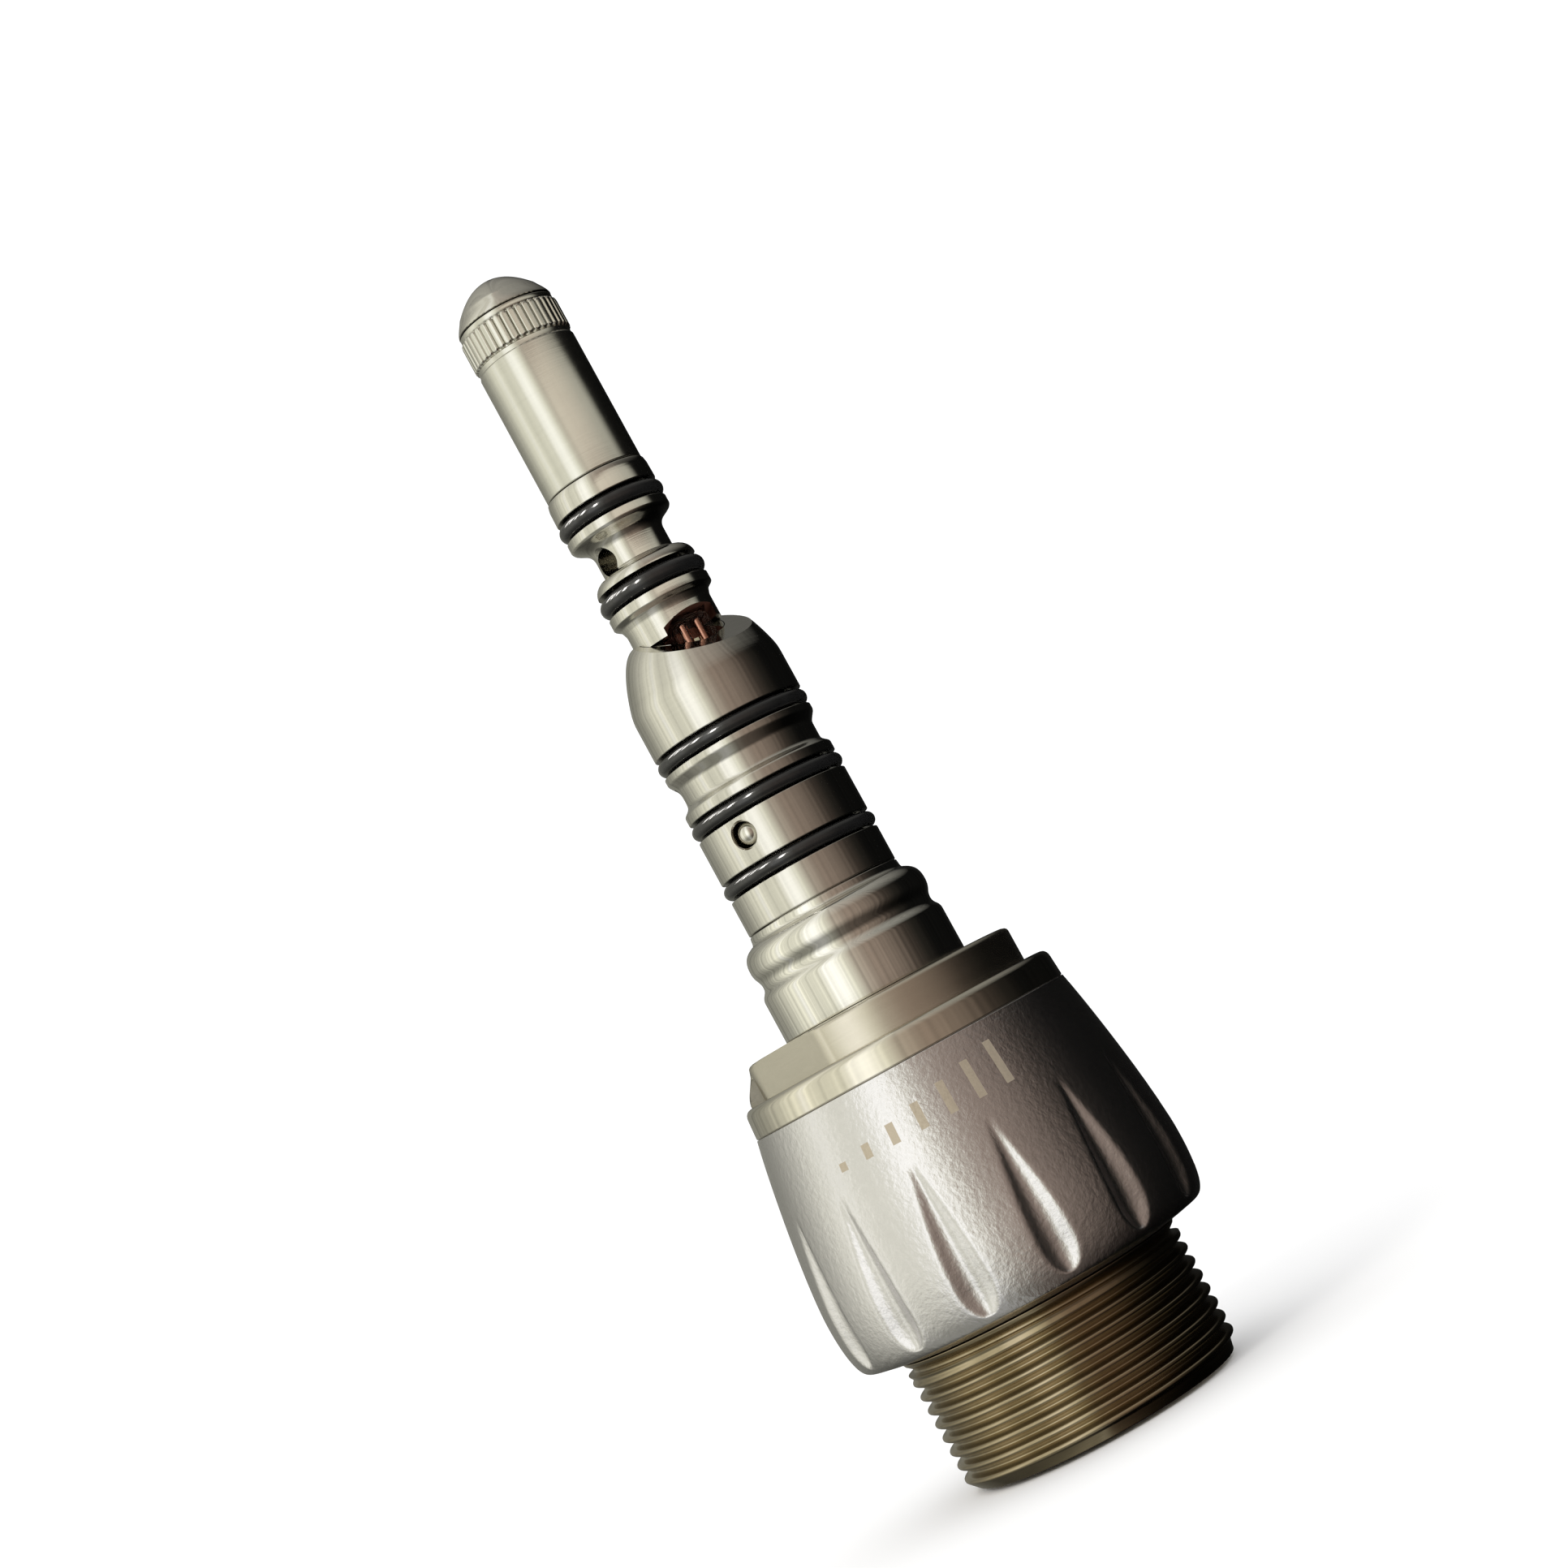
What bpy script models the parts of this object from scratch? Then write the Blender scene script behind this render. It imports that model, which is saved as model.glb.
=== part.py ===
"""Quick-release swivel coupling for a dental high speed handpiece.

The rear end screws onto the unit's hose. The handpiece snaps over the slim plug and swivels on its
O-rings. The fluted grip ring throttles the spray water through a helical groove and a needle.

Lengths are millimetres. Heights run up +Z from the rear end face towards the nose.
Azimuths are degrees from -Y towards +X.
"""
import math

import bmesh
import bpy
from mathutils import Matrix

MM = 0.001

# Overall form
LENGTH = 65.0
FIT = 0.05                      # radial clearance of a pressed or screwed fit
SEAM = 0.06                     # axial gap at a seam between two fixed pieces
RUNNING = 0.09                  # radial clearance of the turning grip ring
FINE = 28                       # facets round the wide turned pieces
MEDIUM = 20                     # facets round the plug
COARSE = 12                     # facets round tubes, pins and drilled holes
DRILL_PHASE = 7.0               # turn of the facets from one drill to the next, so that none coincide

# Nose and front sleeve
SLEEVE_R = 2.68
SLEEVE_BORE = 2.0
NOSE_BASE = 62.93
NOSE_SPIGOT = 3.2
NOSE_CREASE = (2.2, 63.75)      # edge between the nose's band and its cap
SLEEVE_REAR = 53.17
KNURL_TOP = 62.58
KNURL_REAR = 60.88
KNURL_STEP = 0.06

# Stem between the front O-rings
STEM_COLLAR_R = 2.7
STEM_LAND_R = 2.82
STEM_FLANGE_REAR = 50.42
STEM_WAIST_R = 1.94
STEM_WAIST_TOP = 49.5
STEM_WAIST_REAR = 48.4
STEM_LAND_REAR = 45.88
STEM_NECK_TOP = 45.3
STEM_PLAY = 0.2                 # chamfer at the front of the spigot
STEM_R = 2.37
STEM_SPIGOT_R = 2.28
STEM_SPIGOT_REAR = 38.2
STEM_FRONT_SPIGOT = 59.4
STEM_SKIRT = 44.06              # where the visible stem ends, inside a counterbore of the plug

# Plug body
PLUG_TOP = 44.45
PLUG_R = 4.15
PLUG_SHOULDER = 41.2            # where the shoulder's curve meets the straight plug
PLUG_GROOVE_R = 3.8
PLUG_GROOVE_TOP = 37.1
PLUG_GROOVE_REAR = 36.1
PLUG_GROOVE_SLOPES = (0.5, 0.3)  # height of the slopes above and below the air groove
PLUG_REAR = 29.0
PLUG_SPIGOT_R = 3.3
PLUG_SPIGOT_REAR = 12.0

# O-rings: height, outer radius, section radius
FRONT_RINGS = [(51.4, 2.94, 0.48), (46.98, 2.94, 0.53)]
REAR_RINGS = [(38.45, 4.22, 0.44), (34.8, 4.25, 0.44), (31.4, 4.27, 0.44)]
RING_GROOVE_SIDE = 0.05         # clearance each side of an O-ring in its groove
RING_GROOVE_DEPTH = 0.05        # clearance under an O-ring

# Ports: azimuth, height, radius, inner end of the drilling
FRONT_PORT = (-49.0, 48.95, 0.72, -0.55)
AIR_PORT = (-27.0, 33.35, 0.68, 2.0)
GROOVE_PORT = (-88.0, 36.6, 0.6, 1.9)
PORT_BALL_R = 0.64
PORT_BALL_CENTRE = 3.42

# Channels along the plug: radius from the axis, azimuth, channel radius
WATER_CHANNEL = (1.1, -152.0, 0.45)
SPRAY_CHANNEL = (2.3, -40.0, 0.5)
DRIVE_CHANNEL = (2.1, -88.0, 0.72)

# Lamp and its pocket
LAMP_AZIMUTH = 28.0
LAMP_OFFSET = 1.45
LAMP_POCKET_R = 1.18
LAMP_POCKET_TOP = 44.76
LAMP_POCKET_FLOOR = 39.0
LAMP_R = 1.12
LAMP_WALL = 0.15
LAMP_TOP = 44.66
LAMP_FOOT = 40.66
WIRE_CHANNEL_R = 0.95
LEAD_SPACING = 0.9
LEAD_R = 0.2
LEAD_TOP = 44.34
WIRE_R = 0.3

# Milled window round the lamp: a tilted floor, and a wider mouth whose ceiling rises outwards
WINDOW_AZIMUTH = 36.0
WINDOW_TILT = 27.6
WINDOW_AXIS_HEIGHT = 44.35
WINDOW_HALF_WIDTH = 3.1
WINDOW_REACH = 5.0
MOUTH_R = 1.56
MOUTH_FLOOR = 43.0
MOUTH_CEILING = 43.65           # ceiling height above the axis
MOUTH_SLOPE = 0.53

# Detent collar, nut and cover ring
COLLAR_TOP = 28.94
COLLAR_REAR = 23.46
COLLAR_R = 5.04
COLLAR_FRONT_R = 4.16
COLLAR_LIP_REAR = 28.6
BULGE_R = 4.98
BULGE_HEIGHT = 27.43
VALLEY_R = 4.75
VALLEY_HEIGHT = 26.46
STEP_HEIGHT = 25.8
NUT_TOP = 23.4
NUT_REAR = 21.55
NUT_R = 7.35
NUT_FLAT_AZIMUTH = -53.0
NUT_FLAT_DISTANCE = 6.55
LUG_AZIMUTH = -91.0
LUG_HALF_WIDTH = 1.0
LUG_FRONT_R = 7.45
LUG_REAR_R = 8.1
COVER_TOP = 21.49
COVER_REAR = 20.16
COVER_R = 8.63
BOSS_R = 5.0
LIP_R = 8.3                     # lip of the cover ring that sinks into the grip's front face
LIP_DEPTH = 0.2
LIP_GAP = 0.1

# Grip ring
GRIP_TOP = 20.08
GRIP_REAR = 7.06
GRIP_FRONT_R = 8.66
GRIP_MAX_R = 9.92
GRIP_MAX_HEIGHT = 10.4
GRIP_REAR_EDGE = (9.3, 7.42)    # end of the rounded rear corner
GRIP_REAR_R = 7.6
GRIP_BORE = 7.1
FLUTE_COUNT = 14
FLUTE_PHASE = -1.35             # degrees by which the flutes are turned
FLUTE_FRONT = 16.5
FLUTE_REAR = 7.8
FLUTE_HALF_WIDTH = 1.0
FLUTE_DEPTH = 0.5
FLUTE_WIDEST = 0.78             # fraction of the length where a flute is widest

# Rear body and its thread
THREAD_R = 7.57
THREAD_TOP = 6.4
NECK_R = 7.42
BEARING_R = GRIP_BORE - RUNNING
SOCKET_R = 6.25
SOCKET_FLOOR = 7.2
GRIP_SEALS = [9.4, 18.4]
GRIP_SEAL_R = 0.42

# Connector insert and what stands on it
INSERT_REAR = 3.1
INSERT_TOP = 7.14
TUBE_REAR = 0.6
EXHAUST_AT = (4.7, -90.0, 0.95)
PIN_OFFSET = 1.9
PIN_SPACING = 2.0
PIN_R = 0.32

# Non-return valve in the spray water line
VALVE_OFFSET = 4.6
VALVE_AZIMUTH = 180.0
VALVE_BORE = 0.95
VALVE_BALL_R = 0.6
VALVE_SEAT_TOP = 8.1
VALVE_BORE_TOP = 12.6
VALVE_SPRING_R = 0.5
VALVE_WIRE_R = 0.11
VALVE_TURNS = 4

# Water regulator driven by the grip ring
NEEDLE_OFFSET = 4.75
NEEDLE_AZIMUTH = -130.0
NEEDLE_R = 0.55
NEEDLE_BORE = 0.65
NEEDLE_REAR = 10.8
NEEDLE_TIP = 16.4
NEEDLE_BORE_TOP = 18.6
FOLLOWER_R = 0.4
FOLLOWER_HEIGHT = 12.4
FOLLOWER_OUTER = 7.55
REGULATOR_TURN = 120.0          # degrees of grip travel
REGULATOR_LIFT = 1.5            # needle travel over that turn
GROOVE_FLOOR = 7.8
GROOVE_CLEARANCE = 0.09


# ---------------------------------------------------------------- helpers

def clear_scene():
    for obj in list(bpy.data.objects):
        bpy.data.objects.remove(obj, do_unlink=True)


def material(name, colour, metallic, roughness, alpha=1.0):
    mat = bpy.data.materials.new(name)
    mat.use_nodes = True
    shader = mat.node_tree.nodes["Principled BSDF"]
    shader.inputs["Base Color"].default_value = (*colour, 1.0)
    shader.inputs["Metallic"].default_value = metallic
    shader.inputs["Roughness"].default_value = roughness
    shader.inputs["Alpha"].default_value = alpha
    return mat


def polar(radius, azimuth):
    """Point at a radius and azimuth, as x and y."""
    angle = math.radians(azimuth)
    return radius * math.sin(angle), -radius * math.cos(angle)


def arc(centre, radius, start, end, steps):
    """Points on an arc of a turned outline. 0 degrees points outwards, 90 up."""
    points = []
    for i in range(steps + 1):
        angle = math.radians(start + (end - start) * i / steps)
        points.append((centre[0] + radius * math.cos(angle), centre[1] + radius * math.sin(angle)))
    return points


def bezier(p0, p1, p2, p3, steps):
    points = []
    for i in range(steps + 1):
        t = i / steps
        s = 1.0 - t
        weights = (s ** 3, 3 * s * s * t, 3 * s * t * t, t ** 3)
        points.append(tuple(sum(w * p[k] for w, p in zip(weights, (p0, p1, p2, p3))) for k in (0, 1)))
    return points


def new_object(name, bm, mat):
    bmesh.ops.recalc_face_normals(bm, faces=bm.faces)
    mesh = bpy.data.meshes.new(name)
    bm.to_mesh(mesh)
    bm.free()
    mesh.shade_smooth()
    mesh.set_sharp_from_angle(angle=math.radians(32.0))
    obj = bpy.data.objects.new(name, mesh)
    bpy.context.collection.objects.link(obj)
    if mat:
        mesh.materials.append(mat)
    return obj


def bridge(bm, lower, upper):
    """Faces between two closed rings, where a ring of one vertex is a pole."""
    count = max(len(lower), len(upper))
    if count == 1:
        return
    for i in range(count):
        j = (i + 1) % count
        corners = [lower[i % len(lower)], lower[j % len(lower)], upper[j % len(upper)], upper[i % len(upper)]]
        unique = [v for k, v in enumerate(corners) if v not in corners[:k]]
        bm.faces.new(unique)


def turned(name, outline, segments, mat=None, at=(0.0, 0.0)):
    """Solid of revolution from a closed outline of (radius, height) points."""
    bm = bmesh.new()
    rings = []
    for radius, height in outline:
        count = 1 if radius < 1e-6 else segments
        ring = []
        for i in range(count):
            angle = 2.0 * math.pi * i / segments
            x = radius * math.cos(angle)
            y = radius * math.sin(angle)
            ring.append(bm.verts.new((x * MM, y * MM, height * MM)))
        rings.append(ring)
    for lower, upper in zip(rings, rings[1:] + rings[:1]):
        bridge(bm, lower, upper)
    obj = new_object(name, bm, mat)
    obj.location = (at[0] * MM, at[1] * MM, 0.0)
    return obj


def rod(name, radius, bottom, top, at, mat=None, segments=COARSE, chamfer=0.0):
    outline = [(0.0, bottom), (radius - chamfer, bottom)]
    if chamfer:
        outline += [(radius, bottom + chamfer), (radius, top - chamfer)]
    outline += [(radius - chamfer, top), (0.0, top)]
    return turned(name, outline, segments, mat, at)


def tube(name, outer, inner, bottom, top, at, mat, segments=COARSE, chamfer=0.08):
    outline = [(inner, bottom), (outer - chamfer, bottom), (outer, bottom + chamfer),
               (outer, top - chamfer), (outer - chamfer, top), (inner, top)]
    return turned(name, outline, segments, mat, at)


def o_ring(name, height, outer, section, mat, segments=MEDIUM):
    outline = arc((outer - section, height), section, 0.0, 300.0, 5)
    return turned(name, outline, segments, mat)


def sweep(name, sections, mat=None):
    """Closed solid through a list of equal cross-sections given as lists of 3-D points."""
    bm = bmesh.new()
    rings = [[bm.verts.new([c * MM for c in point]) for point in section] for section in sections]
    for lower, upper in zip(rings, rings[1:]):
        bridge(bm, lower, upper)
    bm.faces.new(rings[0])
    bm.faces.new(rings[-1])
    return new_object(name, bm, mat)


def as_cutter(obj):
    obj.hide_render = True
    obj.display_type = "WIRE"
    return obj


def boolean(target, tool, operation="DIFFERENCE"):
    as_cutter(tool)
    mod = target.modifiers.new(tool.name, "BOOLEAN")
    mod.operation = operation
    mod.solver = "EXACT"
    mod.object = tool


def drill_phase(target):
    return math.radians(DRILL_PHASE * (1 + len(target.modifiers)))


def axial_drill(target, offset, azimuth, radius, bottom, top, segments=12):
    name = "drill_axial_{}_{}".format(target.name, len(target.modifiers))
    tool = rod(name, radius, bottom, top, polar(offset, azimuth), None, segments)
    tool.rotation_euler.z = drill_phase(target)
    boolean(target, tool)


def radial_drill(target, azimuth, height, radius, inner, outer, segments=COARSE):
    name = "drill_radial_{}_{}".format(target.name, len(target.modifiers))
    tool = rod(name, radius, inner, outer, (0.0, 0.0), None, segments)
    tool.matrix_world = radial_frame(azimuth, height) @ Matrix.Rotation(drill_phase(target), 4, "Z")
    boolean(target, tool)


def radial_frame(azimuth, height):
    """Frame whose +Z points outwards at an azimuth, at a height on the axis."""
    turn = Matrix.Rotation(math.radians(azimuth), 4, "Z")
    lay_down = Matrix.Rotation(math.radians(90.0), 4, "X")
    return Matrix.Translation((0.0, 0.0, height * MM)) @ turn @ lay_down


def block(name, size, frame, mat=None):
    """Box with its centre at the origin of a frame."""
    bm = bmesh.new()
    bmesh.ops.create_cube(bm, size=1.0)
    bmesh.ops.scale(bm, vec=[side * MM for side in size], verts=bm.verts)
    bmesh.ops.transform(bm, matrix=frame, verts=bm.verts)
    return new_object(name, bm, mat)


def wire(name, points, radius, mat):
    """Round wire with closed ends along a list of points."""
    curve = bpy.data.curves.new(name, "CURVE")
    curve.dimensions = "3D"
    curve.bevel_depth = radius * MM
    curve.bevel_resolution = 1
    curve.use_fill_caps = True
    spline = curve.splines.new("POLY")
    spline.points.add(len(points) - 1)
    for point, place in zip(spline.points, points):
        point.co = (*[c * MM for c in place], 1.0)
    curve.materials.append(mat)
    obj = bpy.data.objects.new(name, curve)
    bpy.context.collection.objects.link(obj)
    return obj


def axis_empty(name, at, height):
    empty = bpy.data.objects.new(name, None)
    empty.empty_display_size = 0.004
    empty.location = (at[0] * MM, at[1] * MM, height * MM)
    bpy.context.collection.objects.link(empty)
    return empty


def hang_on(child, empty):
    """Parent an object to an empty without moving it."""
    child.parent = empty
    child.matrix_parent_inverse = Matrix.Translation(-empty.location)


def groove(height, outer, section, land):
    """Outline points of an O-ring groove in a land of a given radius, front edge first."""
    half = section + RING_GROOVE_SIDE
    floor = outer - 2.0 * section - RING_GROOVE_DEPTH
    return [(land, height + half), (floor, height + half), (floor, height - half), (land, height - half)]


# ---------------------------------------------------------------- materials

clear_scene()
STEEL = material("turned_steel", (0.60, 0.58, 0.52), 1.0, 0.28)
BRIGHT = material("polished_steel", (0.68, 0.66, 0.60), 1.0, 0.16)
SATIN = material("satin_grip", (0.60, 0.58, 0.58), 0.9, 0.48)
WARM = material("warm_plated_brass", (0.66, 0.60, 0.46), 1.0, 0.25)
RUBBER = material("black_rubber", (0.025, 0.026, 0.027), 0.0, 0.42)
COPPER = material("copper", (0.72, 0.40, 0.27), 1.0, 0.3)
BOARD = material("lamp_board", (0.30, 0.15, 0.09), 0.2, 0.4)
DIE = material("led_die", (0.92, 0.88, 0.66), 0.0, 0.4)
GLASS = material("lamp_glass", (0.92, 0.90, 0.86), 0.0, 0.05, 0.35)
CERAMIC = material("lamp_base", (0.82, 0.80, 0.74), 0.0, 0.45)
PLASTIC = material("insert_plastic", (0.16, 0.16, 0.17), 0.0, 0.4)
GOLD = material("contact_gold", (0.83, 0.62, 0.28), 1.0, 0.22)
RED_WIRE = material("wire_red", (0.55, 0.05, 0.04), 0.0, 0.45)
BLACK_WIRE = material("wire_black", (0.03, 0.03, 0.03), 0.0, 0.45)


# ---------------------------------------------------------------- front end

def make_nose():
    """Domed cap over a short band, with a spigot that plugs into the sleeve."""
    spigot = SLEEVE_BORE - FIT
    foot = NOSE_BASE - NOSE_SPIGOT
    outline = bezier((0.0, LENGTH), (0.9, LENGTH - 0.02), (1.6, 64.5), NOSE_CREASE, 6)
    outline += bezier(NOSE_CREASE, (2.44, 63.42), (2.6, 63.15), (SLEEVE_R - 0.02, NOSE_BASE), 3)[1:]
    outline += [(spigot, NOSE_BASE), (spigot, foot + 0.2), (spigot - 0.2, foot), (0.0, foot)]
    return turned("nose_cone", outline, MEDIUM, STEEL)


def make_sleeve():
    top = NOSE_BASE - SEAM
    rim = 0.08
    outline = [(SLEEVE_BORE, top), (SLEEVE_R - KNURL_STEP - rim, top), (SLEEVE_R - KNURL_STEP, top - rim),
               (SLEEVE_R - KNURL_STEP, KNURL_TOP + rim), (SLEEVE_R, KNURL_TOP), (SLEEVE_R, KNURL_REAR),
               (SLEEVE_R - KNURL_STEP, KNURL_REAR - rim), (SLEEVE_R - KNURL_STEP, KNURL_REAR - 0.25),
               (SLEEVE_R, KNURL_REAR - 0.31), (SLEEVE_R, SLEEVE_REAR + rim), (SLEEVE_R - rim, SLEEVE_REAR),
               (SLEEVE_BORE, SLEEVE_REAR)]
    return turned("front_sleeve", outline, MEDIUM, STEEL)


def make_stem():
    spigot = SLEEVE_BORE - FIT
    top = SLEEVE_REAR - SEAM
    outline = [(0.0, STEM_FRONT_SPIGOT), (spigot - STEM_PLAY, STEM_FRONT_SPIGOT),
               (spigot, STEM_FRONT_SPIGOT - STEM_PLAY), (spigot, top), (STEM_COLLAR_R, top)]
    outline += groove(*FRONT_RINGS[0], STEM_LAND_R)
    outline += [(STEM_LAND_R, STEM_FLANGE_REAR)]
    outline += bezier((2.7, 50.25), (2.3, 50.05), (1.98, 49.85), (STEM_WAIST_R, STEM_WAIST_TOP), 4)
    outline += [(STEM_WAIST_R, STEM_WAIST_REAR)]
    outline += bezier((2.13, 48.3), (2.5, 48.25), (2.72, 47.95), (2.76, 47.65), 3)
    outline += groove(*FRONT_RINGS[1], STEM_LAND_R - 0.02)
    outline += [(STEM_LAND_R - 0.02, STEM_LAND_REAR), (2.5, 45.64), (STEM_R, STEM_NECK_TOP)]
    outline += [(STEM_R, STEM_SKIRT), (STEM_SPIGOT_R, STEM_SKIRT)]
    outline += [(STEM_SPIGOT_R, STEM_SPIGOT_REAR), (0.0, STEM_SPIGOT_REAR)]
    stem = turned("stem", outline, MEDIUM, STEEL)
    axial_drill(stem, WATER_CHANNEL[0], WATER_CHANNEL[1], WATER_CHANNEL[2], STEM_SPIGOT_REAR - 1.0, 49.2)
    radial_drill(stem, *FRONT_PORT, STEM_R + 1.0)
    axial_drill(stem, LAMP_OFFSET, LAMP_AZIMUTH, LAMP_POCKET_R, STEM_SPIGOT_REAR - 1.0, LAMP_POCKET_TOP, 20)
    boolean(stem, window_mouth())
    boolean(stem, window_wedge())
    return stem


# ---------------------------------------------------------------- plug body

def make_plug():
    outline = [(STEM_R + FIT, PLUG_TOP)]
    outline += bezier((2.7, PLUG_TOP), (3.2, 44.15), (3.75, 42.9), (4.08, 41.6), 6)
    outline += [(PLUG_R, PLUG_SHOULDER)]
    outline += groove(*REAR_RINGS[0], PLUG_R)
    outline += [(PLUG_R, PLUG_GROOVE_TOP + PLUG_GROOVE_SLOPES[0]), (PLUG_GROOVE_R, PLUG_GROOVE_TOP),
                (PLUG_GROOVE_R, PLUG_GROOVE_REAR), (PLUG_R, PLUG_GROOVE_REAR - PLUG_GROOVE_SLOPES[1])]
    outline += groove(*REAR_RINGS[1], PLUG_R)
    outline += groove(*REAR_RINGS[2], PLUG_R)
    bore_end = STEM_SPIGOT_REAR - SEAM
    counterbore_end = STEM_SKIRT - SEAM
    outline += [(PLUG_R, PLUG_REAR), (PLUG_SPIGOT_R, PLUG_REAR),
                (PLUG_SPIGOT_R, PLUG_SPIGOT_REAR + 0.2), (PLUG_SPIGOT_R - 0.2, PLUG_SPIGOT_REAR),
                (0.0, PLUG_SPIGOT_REAR), (0.0, bore_end), (STEM_SPIGOT_R + FIT, bore_end),
                (STEM_SPIGOT_R + FIT, counterbore_end), (STEM_R + FIT, counterbore_end)]
    plug = turned("plug_body", outline, MEDIUM, STEEL)
    boolean(plug, window_cutter())
    pocket = (LAMP_POCKET_FLOOR, LAMP_POCKET_TOP + 1.0)
    axial_drill(plug, LAMP_OFFSET, LAMP_AZIMUTH, LAMP_POCKET_R, *pocket, 20)
    channel = (PLUG_SPIGOT_REAR - 1.0, LAMP_POCKET_FLOOR + 0.3)
    axial_drill(plug, LAMP_OFFSET, LAMP_AZIMUTH, WIRE_CHANNEL_R, *channel)
    axial_drill(plug, *WATER_CHANNEL, PLUG_SPIGOT_REAR - 1.0, STEM_SPIGOT_REAR + 0.5)
    axial_drill(plug, *SPRAY_CHANNEL, PLUG_SPIGOT_REAR - 1.0, AIR_PORT[1] + 0.3)
    axial_drill(plug, *DRIVE_CHANNEL, PLUG_SPIGOT_REAR - 1.0, GROOVE_PORT[1] + 0.2)
    radial_drill(plug, *AIR_PORT, PLUG_R + 1.0)
    radial_drill(plug, *GROOVE_PORT, PLUG_R + 1.0)
    return plug


def window_cutter():
    """Half-space above a tilted floor, as wide as the milled slot."""
    height = 4.0
    depth = 14.0
    turn = Matrix.Rotation(math.radians(WINDOW_AZIMUTH), 4, "Z")
    tilt = Matrix.Rotation(math.radians(WINDOW_TILT), 4, "X")
    lift = Matrix.Translation((0.0, 0.0, 0.5 * height * MM))
    frame = Matrix.Translation((0.0, 0.0, WINDOW_AXIS_HEIGHT * MM)) @ turn @ tilt @ lift
    return block("window_cutter", (2.0 * WINDOW_HALF_WIDTH, depth, height), frame)


def window_wedge():
    """What the same cutter takes from the stem: a wedge between the tilted floor and the skirt's end."""
    slope = math.tan(math.radians(WINDOW_TILT))
    inner = (WINDOW_AXIS_HEIGHT - STEM_SKIRT) / slope
    floor = WINDOW_AXIS_HEIGHT - WINDOW_REACH * slope
    sections = []
    for side in (-WINDOW_HALF_WIDTH, WINDOW_HALF_WIDTH):
        dx, dy = polar(side, WINDOW_AZIMUTH + 90.0)
        section = []
        for out, height in ((inner, STEM_SKIRT), (WINDOW_REACH, STEM_SKIRT), (WINDOW_REACH, floor)):
            x, y = polar(out, WINDOW_AZIMUTH)
            section.append((x + dx, y + dy, height))
        sections.append(section)
    return sweep("window_wedge", sections)


def window_mouth():
    """Cylinder beside the lamp whose top face rises outwards."""
    centre = polar(LAMP_OFFSET, LAMP_AZIMUTH)
    rings = [[], []]
    for i in range(MEDIUM):
        dx, dy = polar(MOUTH_R, 360.0 * i / MEDIUM)
        x = centre[0] + dx
        y = centre[1] + dy
        out = math.hypot(x, y) * math.cos(math.atan2(x, -y) - math.radians(WINDOW_AZIMUTH))
        rings[0].append((x, y, MOUTH_FLOOR))
        rings[1].append((x, y, MOUTH_CEILING + MOUTH_SLOPE * out))
    return sweep("window_mouth", rings)


def make_port_ball():
    outline = [(0.0, PORT_BALL_R)] + arc((0.0, 0.0), PORT_BALL_R, 60.0, -60.0, 5) + [(0.0, -PORT_BALL_R)]
    ball = turned("port_ball", outline, COARSE, BRIGHT)
    x, y = polar(PORT_BALL_CENTRE, AIR_PORT[0])
    ball.location = (x * MM, y * MM, AIR_PORT[1] * MM)
    return ball


# ---------------------------------------------------------------- lamp

def lamp_frame(height):
    """Frame at the lamp's axis: +X across the leads, -Y outwards."""
    x, y = polar(LAMP_OFFSET, LAMP_AZIMUTH)
    turn = Matrix.Rotation(math.radians(LAMP_AZIMUTH), 4, "Z")
    return Matrix.Translation((x * MM, y * MM, height * MM)) @ turn


def lamp_point(across, inwards):
    """Point beside the lamp's axis, as x and y."""
    place = lamp_frame(0.0) @ Matrix.Translation((across * MM, inwards * MM, 0.0))
    return place.translation.x / MM, place.translation.y / MM


def make_lamp():
    at = polar(LAMP_OFFSET, LAMP_AZIMUTH)
    inner = LAMP_R - LAMP_WALL
    shell = [(inner, LAMP_FOOT), (LAMP_R, LAMP_FOOT), (LAMP_R, LAMP_TOP - 0.55)]
    shell += bezier((LAMP_R, LAMP_TOP - 0.5), (LAMP_R, LAMP_TOP - 0.12), (0.6, LAMP_TOP), (0.2, LAMP_TOP), 4)
    shell += [(0.0, LAMP_TOP), (0.0, LAMP_TOP - LAMP_WALL), (0.2, LAMP_TOP - LAMP_WALL)]
    shell += bezier((0.45, LAMP_TOP - LAMP_WALL), (0.8, LAMP_TOP - 0.25), (inner, LAMP_TOP - 0.3),
                    (inner, LAMP_TOP - 0.6), 3)
    turned("lamp_glass", shell, 20, GLASS, at)
    rod("lamp_base", 1.14, 40.0, 40.6, at, CERAMIC, 20, 0.08)
    rod("lamp_socket", 1.16, 39.1, 39.94, at, PLASTIC, 20, 0.08)
    for i in (0, 1):
        across = LEAD_SPACING * (i - 0.5)
        at = lamp_point(across, -0.12)
        rod("lamp_lead_{}".format(i + 1), LEAD_R, LAMP_FOOT, LEAD_TOP, at, COPPER, 12, 0.05)
    board = lamp_frame(42.4) @ Matrix.Translation((0.0, 0.42 * MM, 0.0))
    block("lamp_board", (1.5, 0.22, 3.3), board, BOARD)
    die = lamp_frame(43.0) @ Matrix.Translation((0.0, 0.17 * MM, 0.0))
    block("led_die", (0.42, 0.16, 0.9), die, DIE)


def pin_place(side):
    """Foot of a contact pin, on either side of the lamp's azimuth."""
    x, y = polar(PIN_OFFSET, LAMP_AZIMUTH)
    dx, dy = polar(PIN_SPACING * side, LAMP_AZIMUTH + 90.0)
    return x + dx, y + dy


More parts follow.
